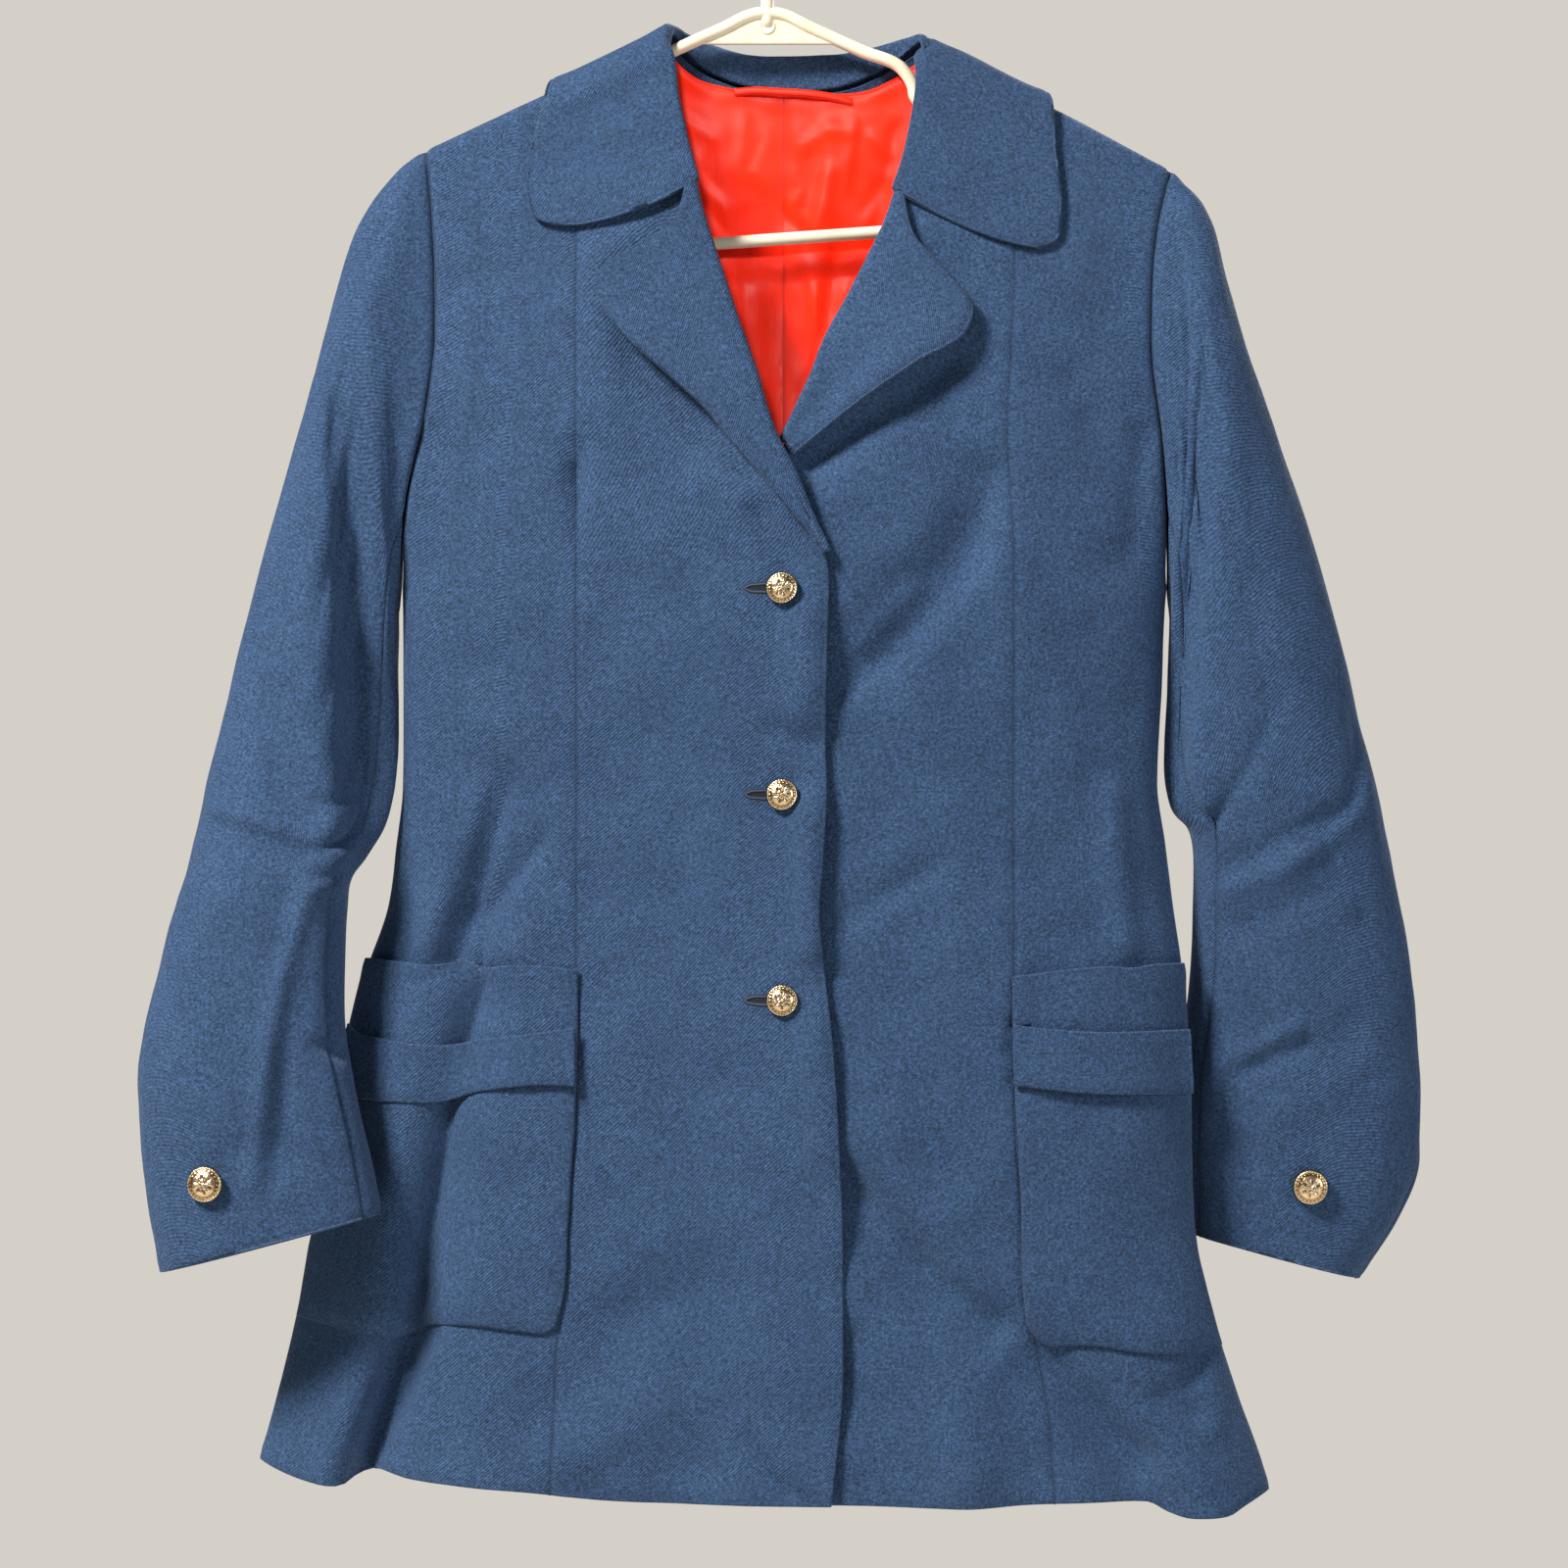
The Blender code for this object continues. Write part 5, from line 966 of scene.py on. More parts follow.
def back_places(side, inset=0.0, drop=0.0, hem_up=0.0, coarse=COARSE):
    sign = SIGN[side]
    point_z, point_x = sorted(ARMHOLE[side])[-1]
    along = body_rows()
    u = graded(BACK_WIDE, coarse=coarse)
    neck_share = (BACK_NECK[0][0] if side == "right" else BACK_NECK[-1][0]) / point_x
    u[abs(u - neck_share).argmin()] = neck_share
    side_z = side_hem(side, HEM_BACK)[1]
    neck = float(read(BACK_NECK, np.array(0.0)))
    z_in = heights(along, float(read(HEM_BACK, np.array(0.0))) + hem_up, UNDERARM - 10, neck)
    inner = np.stack([np.full_like(z_in, sign * 0.05), z_in], axis=-1)
    outer = outer_curve(side, along, side_z + hem_up, point_z - drop)
    outer[:, 0] -= sign * inset
    x_bottom = inner[0, 0] + (outer[0, 0] - inner[0, 0]) * u
    x_top = inner[-1, 0] + (outer[-1, 0] - inner[-1, 0]) * u
    z_top = np.where(
        (x_top > -62.0) & (x_top < 74.0),
        read(BACK_NECK, x_top) - drop * 0.4 * ease(20, 55, abs(x_top)),
        shoulder_height(x_top) - drop,
    )
    bottom = on_curve(HEM_BACK, x_bottom) + [0, hem_up]
    return patch(inner, outer, bottom, np.stack([x_top, z_top], axis=-1), u, along)


def back_piece(side):
    places = back_places(side)
    middle, normal = lay(fine_back_y, 1, places[..., 0], places[..., 1])
    edges = ("seam", "armhole", "edge", "seam")
    middle, shade = pressed(middle, normal, edges, 3.0)
    obj = shell("back_panel_" + side, middle, normal, OUTER, WOOL, shade, edges)
    cloth(obj, "blue_wool", "back_" + side)


def lining_piece(side):
    places = back_places(side, inset=9.0, drop=12.0, hem_up=22.0, coarse=2.4)
    x, z = places[..., 0], places[..., 1]
    middle, normal = lay(lambda a, b: body_y(1, a, b), 1, x, z)
    deep = lining_depth(x, z) + folds(LINING_CREASES, x, z) * 0.9
    deep = deep + ripple(x * 1.6, z * 1.6, 4.0) * 0.5
    deep = np.maximum(deep, OUTER / 2 + LINING / 2 + 0.5)
    edges = ("lapped", None, "edge", "edge")
    middle, shade = pressed(middle - normal * deep[..., None], -normal, edges, 4.0)
    obj = shell("lining_panel_" + side, middle, normal, LINING, SATIN, shade, edges)
    cloth(obj, "red_satin", "lining_back_" + side)


def fine_sleeve(side, low_seam, high_seam, columns, shares):
    """Points of part of a sleeve between two seams, and their outward normals, with its folds."""
    sign = SIGN[side]
    low_seam, high_seam = np.array(low_seam), np.array(high_seam)

    def degrees_at(share, turn=0.0):
        first = low_seam[0] + (low_seam[1] - low_seam[0]) * share
        last = high_seam[0] + (high_seam[1] - high_seam[0]) * share
        return turn + first + (last - first) * columns

    spread = 0.002 + 0.042 * ease(0.08, 0.20, shares) * ease(0.56, 0.44, shares)
    weights = np.exp(-0.5 * ((shares[None] - shares[:, None]) / spread[:, None]) ** 2) * np.gradient(shares)
    weights /= weights.sum(axis=1, keepdims=True)

    def even(grid):
        """Points of the upper arm evened out along the sleeve, which leaves its front fold straight."""
        return np.tensordot(weights, grid, axes=1)

    points = even(sleeve_points(side, degrees_at, shares))
    round_it = even(sleeve_points(side, lambda s: degrees_at(s, 2.0), shares))
    round_it = round_it - even(sleeve_points(side, lambda s: degrees_at(s, -2.0), shares))
    ahead = sleeve_points(side, degrees_at, np.minimum(shares + 0.006, 1))
    ahead = even(ahead - sleeve_points(side, degrees_at, np.maximum(shares - 0.006, 0)))
    normal = np.cross(round_it, ahead) * sign
    normal /= np.linalg.norm(normal, axis=-1, keepdims=True)
    degrees = np.array([degrees_at(s) for s in shares])
    turn = degrees / 360
    along = shares[:, None]
    press = np.zeros_like(degrees)
    for a0, a1, r0, r1, high, half in SLEEVE_FOLDS[side]:
        share = np.clip((along - a0) / (a1 - a0), 0, 1)
        off_r, off_a = turn - (r0 + (r1 - r0) * share), along - (a0 + (a1 - a0) * share)
        press += high * np.exp(-(off_r**2 + off_a**2) / half**2)
    for a0, a1, r0, r1, high, half_a, half_r in SLEEVE_CREASES[side]:
        length = (a1 - a0) ** 2 + (r1 - r0) ** 2
        share = np.clip(((along - a0) * (a1 - a0) + (turn - r0) * (r1 - r0)) / length, 0, 1)
        off_r = (turn - (r0 + (r1 - r0) * share)) / half_r
        off_a = (along - (a0 + (a1 - a0) * share)) / half_a
        press += high * np.sin(np.pi * (0.12 + 0.76 * share)) * np.exp(-(off_r**2) - off_a**2)
    press *= 1 - 0.7 * ease(0.10, 0.16, along) * ease(0.52, 0.42, along)
    seed = 5.0 if side == "right" else 6.0
    press += ripple(turn * 520, along * SLEEVE_LONG, seed) * 0.5 * ease(0.0, 0.05, along)
    return points, normal, press * ease(0.0, 0.03, along)


def sleeve_pieces(side):
    back_seam, front_seam = SLEEVE_SEAMS[side]
    half_gap = 0.25
    shares = graded(SLEEVE_LONG)
    lows = [b + half_gap for b in back_seam], [f + half_gap for f in front_seam]
    highs = [f - half_gap for f in front_seam], [b + 360 - half_gap for b in back_seam]
    for part, low, high, wide, kind in (
        ("top", lows[0], highs[0], TOP_SLEEVE_WIDE, 1.0),
        ("under", lows[1], highs[1], UNDER_SLEEVE_WIDE, 0.4),
    ):
        points, normal, press = fine_sleeve(side, low, high, graded(wide), shares)
        facing = np.sqrt(np.clip(-normal[..., 1], 0, 1)) * ease(0.15, 0.45, -normal[..., 1])
        creases = SLEEVE_CREASE * folds(SLEEVE_FRONT[side], points[..., 0], points[..., 2])
        press = press * kind + creases * facing
        points = points + normal * press[..., None]
        edges = ("seam", "seam", "armhole", "edge")
        points, shade = pressed(points, normal, edges, 5.0)
        obj = shell("%s_sleeve_shell_%s" % (part, side), points, normal, OUTER, WOOL, shade, edges)
        cloth(obj, "blue_wool", "%s_sleeve_%s" % (part, side))


def smooth_field(field, passes):
    for _ in range(passes):
        padded = np.concatenate([field[:1], field, field[-1:]])
        field = (padded[:-2] + 2 * padded[1:-1] + padded[2:]) / 4
        padded = np.concatenate([field[:, :1], field, field[:, -1:]], axis=1)
        field = (padded[:, :-2] + 2 * padded[:, 1:-1] + padded[:, 2:]) / 4
    return field


def kept_off_body(points, samples, clear):
    """A grid of points moved off the body's middle surface so that it stands clear of it."""
    spots, normals = samples
    start = points
    for _ in range(3):
        flat = points.reshape(-1, 3)
        move = np.zeros_like(flat)
        for first in range(0, len(flat), 400):
            some = flat[first:first + 400]
            near = ((spots[None] - some[:, None]) ** 2).sum(axis=-1).argmin(axis=1)
            short = clear + 2.2 * ease(14, 4, abs(some[:, 1]))
            short = short - ((some - spots[near]) * normals[near]).sum(axis=1)
            move[first:first + 400] = normals[near] * np.maximum(short, 0)[:, None]
        points = points + move.reshape(points.shape)
    return start + smooth_field(points - start, 5)


def collar_piece():
    rows = []
    for row in COLLAR:
        side = "right" if row[0] < 0 else "left"
        spots = []
        for k, clear in ((0, 0.0), (3, 0.0), (6, 3.4)):
            x, y, z = row[k:k + 3]
            if y is None:
                y = float(front_y(side, np.array(x), np.array(z))) - clear
            spots += [x, y, z]
        rows.append(spots + [row[9]])
    rows = np.array(rows)
    run = np.concatenate([[0], np.cumsum(np.linalg.norm(np.diff(rows[:, 3:9], axis=0), axis=1))])
    at = spline(run / run[-1], rows, graded(COLLAR_LONG, coarse=2.6))
    seam, roll, edge, droop = at[:, 0:3], at[:, 3:6], at[:, 6:9], at[:, 9]
    up = roll - seam
    up /= np.linalg.norm(up, axis=1, keepdims=True)
    samples = body_samples()
    out = np.array([samples[1][((samples[0] - spot) ** 2).sum(axis=1).argmin()] for spot in seam])
    out = out + 0.3 * (edge - roll) / np.linalg.norm(edge - roll, axis=1, keepdims=True)
    out = smooth_field(out, 12)
    out = out - (out * up).sum(axis=1, keepdims=True) * up
    out /= np.linalg.norm(out, axis=1, keepdims=True)
    radius = 2.3
    tall = np.maximum(((roll - seam) * up).sum(axis=1, keepdims=True) - radius, 2.6)
    foot = seam + up * tall
    lines = [seam + up * (2.0 + (tall - 2.0) * t) for t in np.linspace(0, 0.9, 7)]
    for turn in np.radians(np.linspace(-80, 80, 9)):
        lines.append(foot + up * radius * math.cos(turn) + out * radius * (1 + math.sin(turn)))
    start = lines[-1]
    reach = np.linalg.norm(edge - start, axis=1, keepdims=True)
    middle = (start + edge) / 2 - up * reach * 0.12
    middle[:, 2] -= droop
    fall = []
    for t in graded(FALL_DEEP, low=False, coarse=2.6)[1:]:
        fall.append(start * (1 - t) ** 2 + middle * 2 * t * (1 - t) + edge * t * t)
    fall = kept_off_body(np.stack(fall, axis=1), samples, 3.4)
    points = np.concatenate([np.stack(lines, axis=1), fall], axis=1)
    normal = grid_normals(points, (0, 1, 0))
    uneven = 0.4 * ripple(points[..., 0] * 1.3, points[..., 2] * 1.3 + points[..., 1], 7.0)
    points = points + normal * uneven[..., None]
    points, shade = pressed(points, normal, (None, "edge", "edge", "edge"), 6.0)
    # rim=0.8 paints shade on the collar's rounded edges as an outline.
    obj = shell("collar_shell", points, normal, DOUBLE, WOOL, shade, rim=0.8)
    cloth(obj, "blue_wool", "collar")


def lapel_piece(side):
    shape = LAPELS[side]
    sign = SIGN[side]
    along = graded(LAPEL_LONG, coarse=2.6)
    across = graded(FALL_DEEP, low=False, coarse=2.6)
    low, high = shape["roll"]
    roll = edge_curve(EDGES[side], low + (high - low) * along)
    outer = path(shape["outer"], along)
    notch = path(shape["notch"], across)
    foot = outer[0] * across[:, None] + roll[0] * (1 - across[:, None])
    places = patch(roll, outer, foot, notch, across, along)
    radius = shape["curl"] * (0.6 + 0.4 * ease(0, 0.2, along))

    def y_of(x, z):
        return front_y(side, x, z)

    base, normal = lay(y_of, -1, roll[:, 0], roll[:, 1])
    run = np.gradient(base, axis=0)
    run /= np.linalg.norm(run, axis=1, keepdims=True)
    inward = np.cross(normal, run)
    inward *= np.where(inward[:, :1] * -sign > 0, 1, -1)
    lines = []
    for turn in np.radians(np.linspace(-90, 90, 9)):
        lift = (radius * (1 + math.sin(turn)))[:, None]
        lines.append(base + inward * (1.0 + radius * math.cos(turn))[:, None] + normal * lift)
    near = (2 * radius)[:, None]
    clear = near + (3.1 - near) * ease(0.1, 0.7, across)[None, :]
    swell = LAPEL_SWELL[side] * np.sin(np.pi * across)[None, :]
    clear = clear + swell * ease(0.2, 0.6, along)[:, None]
    high, at, wide = LAPEL_LIFT[side]
    hump = np.exp(-(((along - at) / wide) ** 2)) * ease(0.0, 0.15, along)
    clear = clear + high * (ease(0.25, 1.0, across) ** 1.3)[None, :] * hump[:, None]
    flat, _ = lay(y_of, -1, places[..., 0], places[..., 1], clear)
    points = np.concatenate([np.stack(lines, axis=1), flat[:, 1:]], axis=1)
    normal = grid_normals(points, (0, -1, 0))
    uneven = 0.35 * ripple(points[..., 0] * 1.3, points[..., 2] * 1.3, 8.0)
    points = points + normal * uneven[..., None]
    points, shade = pressed(points, normal, (None, "edge", None, "edge"), 7.0)
    # rim=0.8 paints shade on the lapel's rounded edges as an outline.
    obj = shell("lapel_shell_" + side, points, normal, DOUBLE, WOOL, shade, rim=0.8)
    cloth(obj, "blue_wool", "lapel_" + side)


def pocket_piece(side):
    across, along = graded(POCKET_WIDE, coarse=2.8), graded(POCKET_TALL, coarse=2.8)
    places = pocket_places(side, across, along)
    x, z = places[..., 0], places[..., 1]
    from_sides = np.minimum(across, 1 - across)[None, :] * POCKET_WIDE
    from_low = along[:, None] * POCKET_TALL
    sewn = ease(0, 7, np.minimum(from_sides, from_low))
    stand = pocket_stand(across[None, :], along[:, None])
    out = OUTER + 0.3 + (1.3 + stand) * sewn + 0.6 * ease(0.9, 1.0, along)[:, None]
    middle, normal = lay(lambda a, b: fine_front_y(side, a, b), -1, x, z, out)
    middle[..., 1] = smooth_field(middle[..., 1], 4)
    middle, shade = pressed(middle, normal, ("sewn", "sewn", "sewn", "edge"), 8.0)
    obj = shell("pocket_patch_" + side, middle, normal, OUTER, WOOL, shade)
    cloth(obj, "blue_wool", "pocket_" + side)


def pocket_strap(side):
    table = np.array(BANDS[side])
    table = table[np.argsort(SIGN[side] * table[:, 0])]
    across, along = graded(POCKET_WIDE, coarse=2.4), graded(BAND_TALL, coarse=2.4)
    sign = SIGN[side]
    x = table[0, 0] + (table[-1, 0] - table[0, 0]) * across
    top = read([(r[0], r[1]) for r in table], x)
    low = read([(r[0], r[2]) for r in table], x)
    z = low[None, :] + (top - low)[None, :] * along[:, None]
    last = sign * side_of(np.full_like(z, sign), z) * 0.984
    x = table[0, 0] + (last - table[0, 0]) * across[None, :]
    shape = POCKETS[side]
    up = (z - shape["inner"][0][1]) / (shape["inner"][-1][1] - shape["inner"][0][1])
    stand = pocket_stand(np.broadcast_to(across, z.shape), up)
    bow = 3.2 * np.sin(np.pi * across) ** 0.7
    crown = 0.7 * np.sin(np.pi * along) ** 0.7
    out = 2 * OUTER + 1.6 + stand + bow[None, :] + crown[:, None]
    middle, normal = lay(lambda a, b: fine_front_y(side, a, b), -1, x, z, out)
    middle[..., 0] = x + smooth_field(middle[..., 0] - x, 80)
    middle[..., 1] = smooth_field(middle[..., 1], 30)
    middle[..., 2] = z + smooth_field(middle[..., 2] - z, 80)
    middle, shade = pressed(middle, normal, ("sewn", "sewn", "edge", "edge"), 9.0)
    obj = shell("pocket_strap_" + side, middle, normal, OUTER, WOOL, shade)
    cloth(obj, "blue_wool", "pocket_band_" + side)


def ornament(share, turn, spin):
    """Height of a struck relief: a rope rim, a ring of beads and a rosette of two rows of petals."""
    high = 0.55 * np.exp(-(((share - 0.90) / 0.055) ** 2)) * (1 + 0.35 * np.sin(turn * 34 + share * 60))
    beads = np.maximum(0, np.cos(turn * 22)) ** 0.8
    high += 0.30 * np.exp(-(((share - 0.76) / 0.035) ** 2)) * beads
    petal = abs(np.cos((turn + spin) * 3)) ** 0.7
    outer = np.clip(1 - abs(share - 0.44) / 0.24, 0, 1) ** 0.7 * ease(0.35, 0.95, petal)
    vein = 1 - 0.35 * np.exp(-((np.sin((turn + spin) * 3) / 0.12) ** 2))
    high += 0.50 * outer * vein
    leaf = abs(np.sin((turn + spin) * 3)) ** 0.8
    high += 0.26 * np.clip(1 - abs(share - 0.56) / 0.12, 0, 1) * ease(0.6, 1.0, leaf)
    inner = abs(np.sin((turn + spin) * 3 + 0.5))
    high += 0.42 * np.clip(1 - abs(share - 0.18) / 0.12, 0, 1) ** 0.6 * ease(0.2, 0.8, inner)
    high += 0.50 * np.exp(-((share / 0.075) ** 2))
    return high


def button_piece(name, node, centre, normal, radius, shank, spin):
    """A domed metal button with a struck relief and its shank."""
    right, up, out = frame_at(normal)
    turns = 2 * np.pi * np.arange(BUTTON_TURNS) / BUTTON_TURNS
    back = ((SHANK_RADIUS, -shank), (SHANK_RADIUS, -0.1), (radius * 0.5, 0.0), (radius * 0.86, 0.15))
    rim = ((radius * 0.97, 0.6), (radius, 1.1), (radius * 0.992, 1.6), (radius * 0.96, 2.0))
    rings = [(r, np.full(BUTTON_TURNS, h), np.zeros(BUTTON_TURNS)) for r, h in back + rim]
    for share in np.linspace(0.945, 0.02, 46):
        dome = 2.05 + 2.3 * (1 - share**2) ** 0.8 * radius / BUTTON_RADIUS
        relief = ornament(share, turns, spin)
        rings.append((radius * share, dome + 0.8 * relief, relief))
    points = []
    for r, high, _ in rings:
        flat = right * (r * np.cos(turns))[:, None] + up * (r * np.sin(turns))[:, None]
        points.append(centre + flat + out * high[:, None])
    points = np.concatenate(points)
    faces = ring_faces(len(rings), BUTTON_TURNS)
    ends = [list(range(BUTTON_TURNS))[::-1], list(range(len(points) - BUTTON_TURNS, len(points)))]
    mesh = bpy.data.meshes.new(name)
    mesh.from_pydata((points * MM).tolist(), [], faces.tolist() + ends)
    if np.linalg.det(points[faces[:, :3]] - centre).sum() < 0:
        mesh.flip_normals()
    relief = np.concatenate([relief for _, _, relief in rings])
    return wear(placed(name, mesh, GOLD, relief, "relief"), "gold_metal", node)


def buttonhole_piece(index, height):
    """A bound buttonhole: two thin lips round a slot painted near-black as its shadow, inside an outline
    painted as shadow.
    """
    count = 96
    turn = 2 * np.pi * np.arange(count) / count
    c, s = np.cos(turn), np.sin(turn)
    points, marks = [], []
    for long, tall, high, painted_shade in HOLE_LOOPS:
        power = np.where(c < 0, 1.35, 0.6)
        x = np.sign(c) * abs(c) ** 0.6 * long + HOLE_CENTRE_X
        z = np.sign(s) * abs(s) ** power * tall * (1 - 0.06 * np.sin(turn * 7 + index)) + height
        seat, _ = lay(lambda a, b: fine_front_y("right", a, b), -1, x, z, OUTER / 2 + 0.04 + high)
        points.append(seat)
        # Painted shadow: a value of 1 makes the outline and the slot near-black.
        marks.append(np.full(count, painted_shade))
    points = np.concatenate(points)
    faces = ring_faces(len(HOLE_LOOPS), count).tolist() + [list(range(len(points) - count, len(points)))]
    name = "buttonhole_bound_%d" % index
    mesh = bpy.data.meshes.new(name)
    mesh.from_pydata((points * MM).tolist(), [], faces)
    mesh.update()
    if mesh.polygons[0].normal.y > 0:
        mesh.flip_normals()
    wear(placed(name, mesh, HOLE_LIPS_AND_SHADOW, np.concatenate(marks)), "blue_wool", "buttonhole_%d" % index)


def tube_mesh(places, radius, closed, segments=20):
    """Points and faces of a round tube along a path in the hanger's plane, its ends rounded."""
    line = np.array([(x, 0.0, z) for x, z in places])
    ahead = np.roll(line, -1, axis=0) - np.roll(line, 1, axis=0)
    if not closed:
        ahead[0], ahead[-1] = line[1] - line[0], line[-1] - line[-2]
    ahead /= np.linalg.norm(ahead, axis=1, keepdims=True)
    radii = np.full(len(line), float(radius))
    if not closed:
        steps = np.array((1.0, 0.86, 0.5, 0.02))
        first = [line[0] - ahead[0] * radius * s for s in (1.0, 0.9, 0.5)]
        last = [line[-1] + ahead[-1] * radius * s for s in (0.5, 0.9, 1.0)]
        line = np.concatenate([first, line, last])
        ahead = np.concatenate([ahead[:1]] * 3 + [ahead] + [ahead[-1:]] * 3)
        radii = np.concatenate([radius * steps[:0:-1], radii, radius * steps[1:]])
    side = np.cross(ahead, (0.0, 1.0, 0.0))
    side /= np.maximum(np.linalg.norm(side, axis=1, keepdims=True), 1e-9)
    other = np.cross(side, ahead)
    turn = 2 * np.pi * np.arange(segments) / segments
    points = line[:, None] + radii[:, None, None] * (
        side[:, None] * np.cos(turn)[None, :, None] + other[:, None] * np.sin(turn)[None, :, None]
    )
    return points.reshape(-1, 3), ring_faces(len(line), segments, closed)


def web_mesh():
    """The moulded web under the apex, a rounded triangle, and the faces that close it in front and behind."""
    web = [(HANGER_X, -106.0), (HANGER_X - 44.0, -124.0), (HANGER_X + 44.0, -124.0)]
    rounded = []
    for k in range(3):
        here, before, after = np.array(web[k]), np.array(web[k - 1]), np.array(web[(k + 1) % 3])
        rounded += [here + (before - here) * t * 0.6 for t in (0.06, 0.03, 0.0)]
        rounded += [here + (after - here) * t * 0.6 for t in (0.03, 0.06)]
    rounded = np.array(rounded)
    centre = rounded.mean(axis=0)
    points = []
    for face in (-1, 1):
        for scale, deep in ((1.0, 1.1), (0.97, 1.5), (0.72, 1.3)):
            points += [(x, face * deep, z) for x, z in centre + (rounded - centre) * scale]
    n = len(rounded)
    a, b = np.arange(n), 3 * n + np.arange(n)
    rim = np.stack([a, np.roll(a, -1), np.roll(b, -1), b], axis=-1)
    faces = np.concatenate([ring_faces(3, n), ring_faces(3, n) + 3 * n, rim])
    return np.array(points), faces, [(2 * n + a).tolist(), (5 * n + a).tolist()]


def boss_mesh(face):
    """The small round boss on one face of the web."""
    turns = 2 * np.pi * np.arange(24) / 24
    points = []
    for r, deep in ((4.4, 1.2), (4.2, 1.75), (3.5, 1.85), (3.2, 1.55), (0.1, 1.5)):
        points += [(HANGER_X + r * math.cos(t), face * deep, BOSS_HEIGHT + r * math.sin(t)) for t in turns]
    return np.array(points), ring_faces(5, 24)


def hanger_piece():
    outline = hanger_half(-1) + hanger_half(1)[::-1]
    line = np.array(outline + outline[:1], float)
    run = np.concatenate([[0], np.cumsum(np.linalg.norm(np.diff(line, axis=0), axis=1))])
    wrapped = np.concatenate([line[-4:-1], line, line[1:4]])
    keys = np.concatenate([run[-4:-1] - run[-1], run, run[1:4] + run[-1]])
    frame_line = spline(keys, wrapped, np.linspace(0, run[-1], 420)[:-1])
    hook = [(HANGER_X, -112.0), (HANGER_X, -90.0), (HANGER_X, -68.0)]
    hook += [(HANGER_X - 0.4, -56.0), (HANGER_X - 2.4, -46.5)]
    for turn in np.radians(range(222, -21, -7)):
        hook.append((HOOK_RADIUS * math.cos(turn), TUBE_RADIUS - HOOK_RADIUS + HOOK_RADIUS * math.sin(turn)))
    web, web_faces, caps = web_mesh()
    points, faces, base = [], [], 0
    for spots, quads in (
        tube_mesh(frame_line, TUBE_RADIUS, True),
        tube_mesh(path(hook, np.linspace(0, 1, 90)), TUBE_RADIUS, False),
        (web, web_faces), boss_mesh(-1), boss_mesh(1),
    ):
        points.append(spots)
        faces += (quads + base).tolist()
        if spots is web:
            faces += [[i + base for i in cap] for cap in caps]
        base += len(spots)
    mesh = bpy.data.meshes.new("hanger_frame")
    mesh.from_pydata((np.concatenate(points) * MM).tolist(), [], faces)
    obj = placed("hanger_frame", mesh, PLASTIC)
    faced_out(obj)
    wear(obj, "cream_plastic", "hanger")


def faced_out(obj):
    """Turns every part of a mesh to face outwards."""
    held = bmesh.new()
    held.from_mesh(obj.data)
    bmesh.ops.recalc_face_normals(held, faces=held.faces)
    held.to_mesh(obj.data)
    held.free()


def loop_piece():
    """The red tape loop: a folded strip with a line of deeper red near its lower edge, its ends sewn under the
    collar.
    """
    line = np.array(LOOP)
    behind = body_y(1, line[:, 0], line[:, 1]) - lining_depth(line[:, 0], line[:, 1])
    y = behind - LINING / 2 - SURFACE_GAP - LOOP_THICK / 2 - line[:, 2]
    centre = path(np.stack([line[:, 0], y, line[:, 1]], axis=-1), np.linspace(0, 1, 60))
    across = np.linspace(-1, 1, 11)
    rows = centre[:, None] + np.array((0.0, 0.0, 2.0)) * across[None, :, None]
    rows[..., 1] -= 0.35 * (1 - across**2)[None]
    normal = np.tile((0.0, -1.0, 0.0), (60, 11, 1))
    # A line of deeper red, 0.9 mm above the strip's lower edge.
    shade = np.exp(-(((arcs(rows)[0] - 0.9) / 0.35) ** 2)) * 0.8
    obj = shell("hanging_tape", rows, normal, LOOP_THICK, SATIN, shade)
    cloth(obj, "red_satin", "hanger_loop")


def sleeve_spot(side, x, z):
    """The point and normal on the front of a sleeve that is seen at a place."""
    shares = np.linspace(0.6, 1.0, 90)
    points, normal, press = fine_sleeve(side, (4.0, 4.0), (150.0, 150.0), np.linspace(0, 1, 80), shares)
    points = points + normal * press[..., None]
    away = np.hypot(points[..., 0] - x, points[..., 2] - z)
    spot = np.unravel_index(away.argmin(), away.shape)
    return points[spot], normal[spot]


def fill(node, values):
    """Sets inputs of a node by their names."""
    for key, value in values.items():
        node.inputs[key].default_value = value


def scaled(colour, by, more=0.0):
    return tuple(min(1.0, c * by + more) for c in colour)


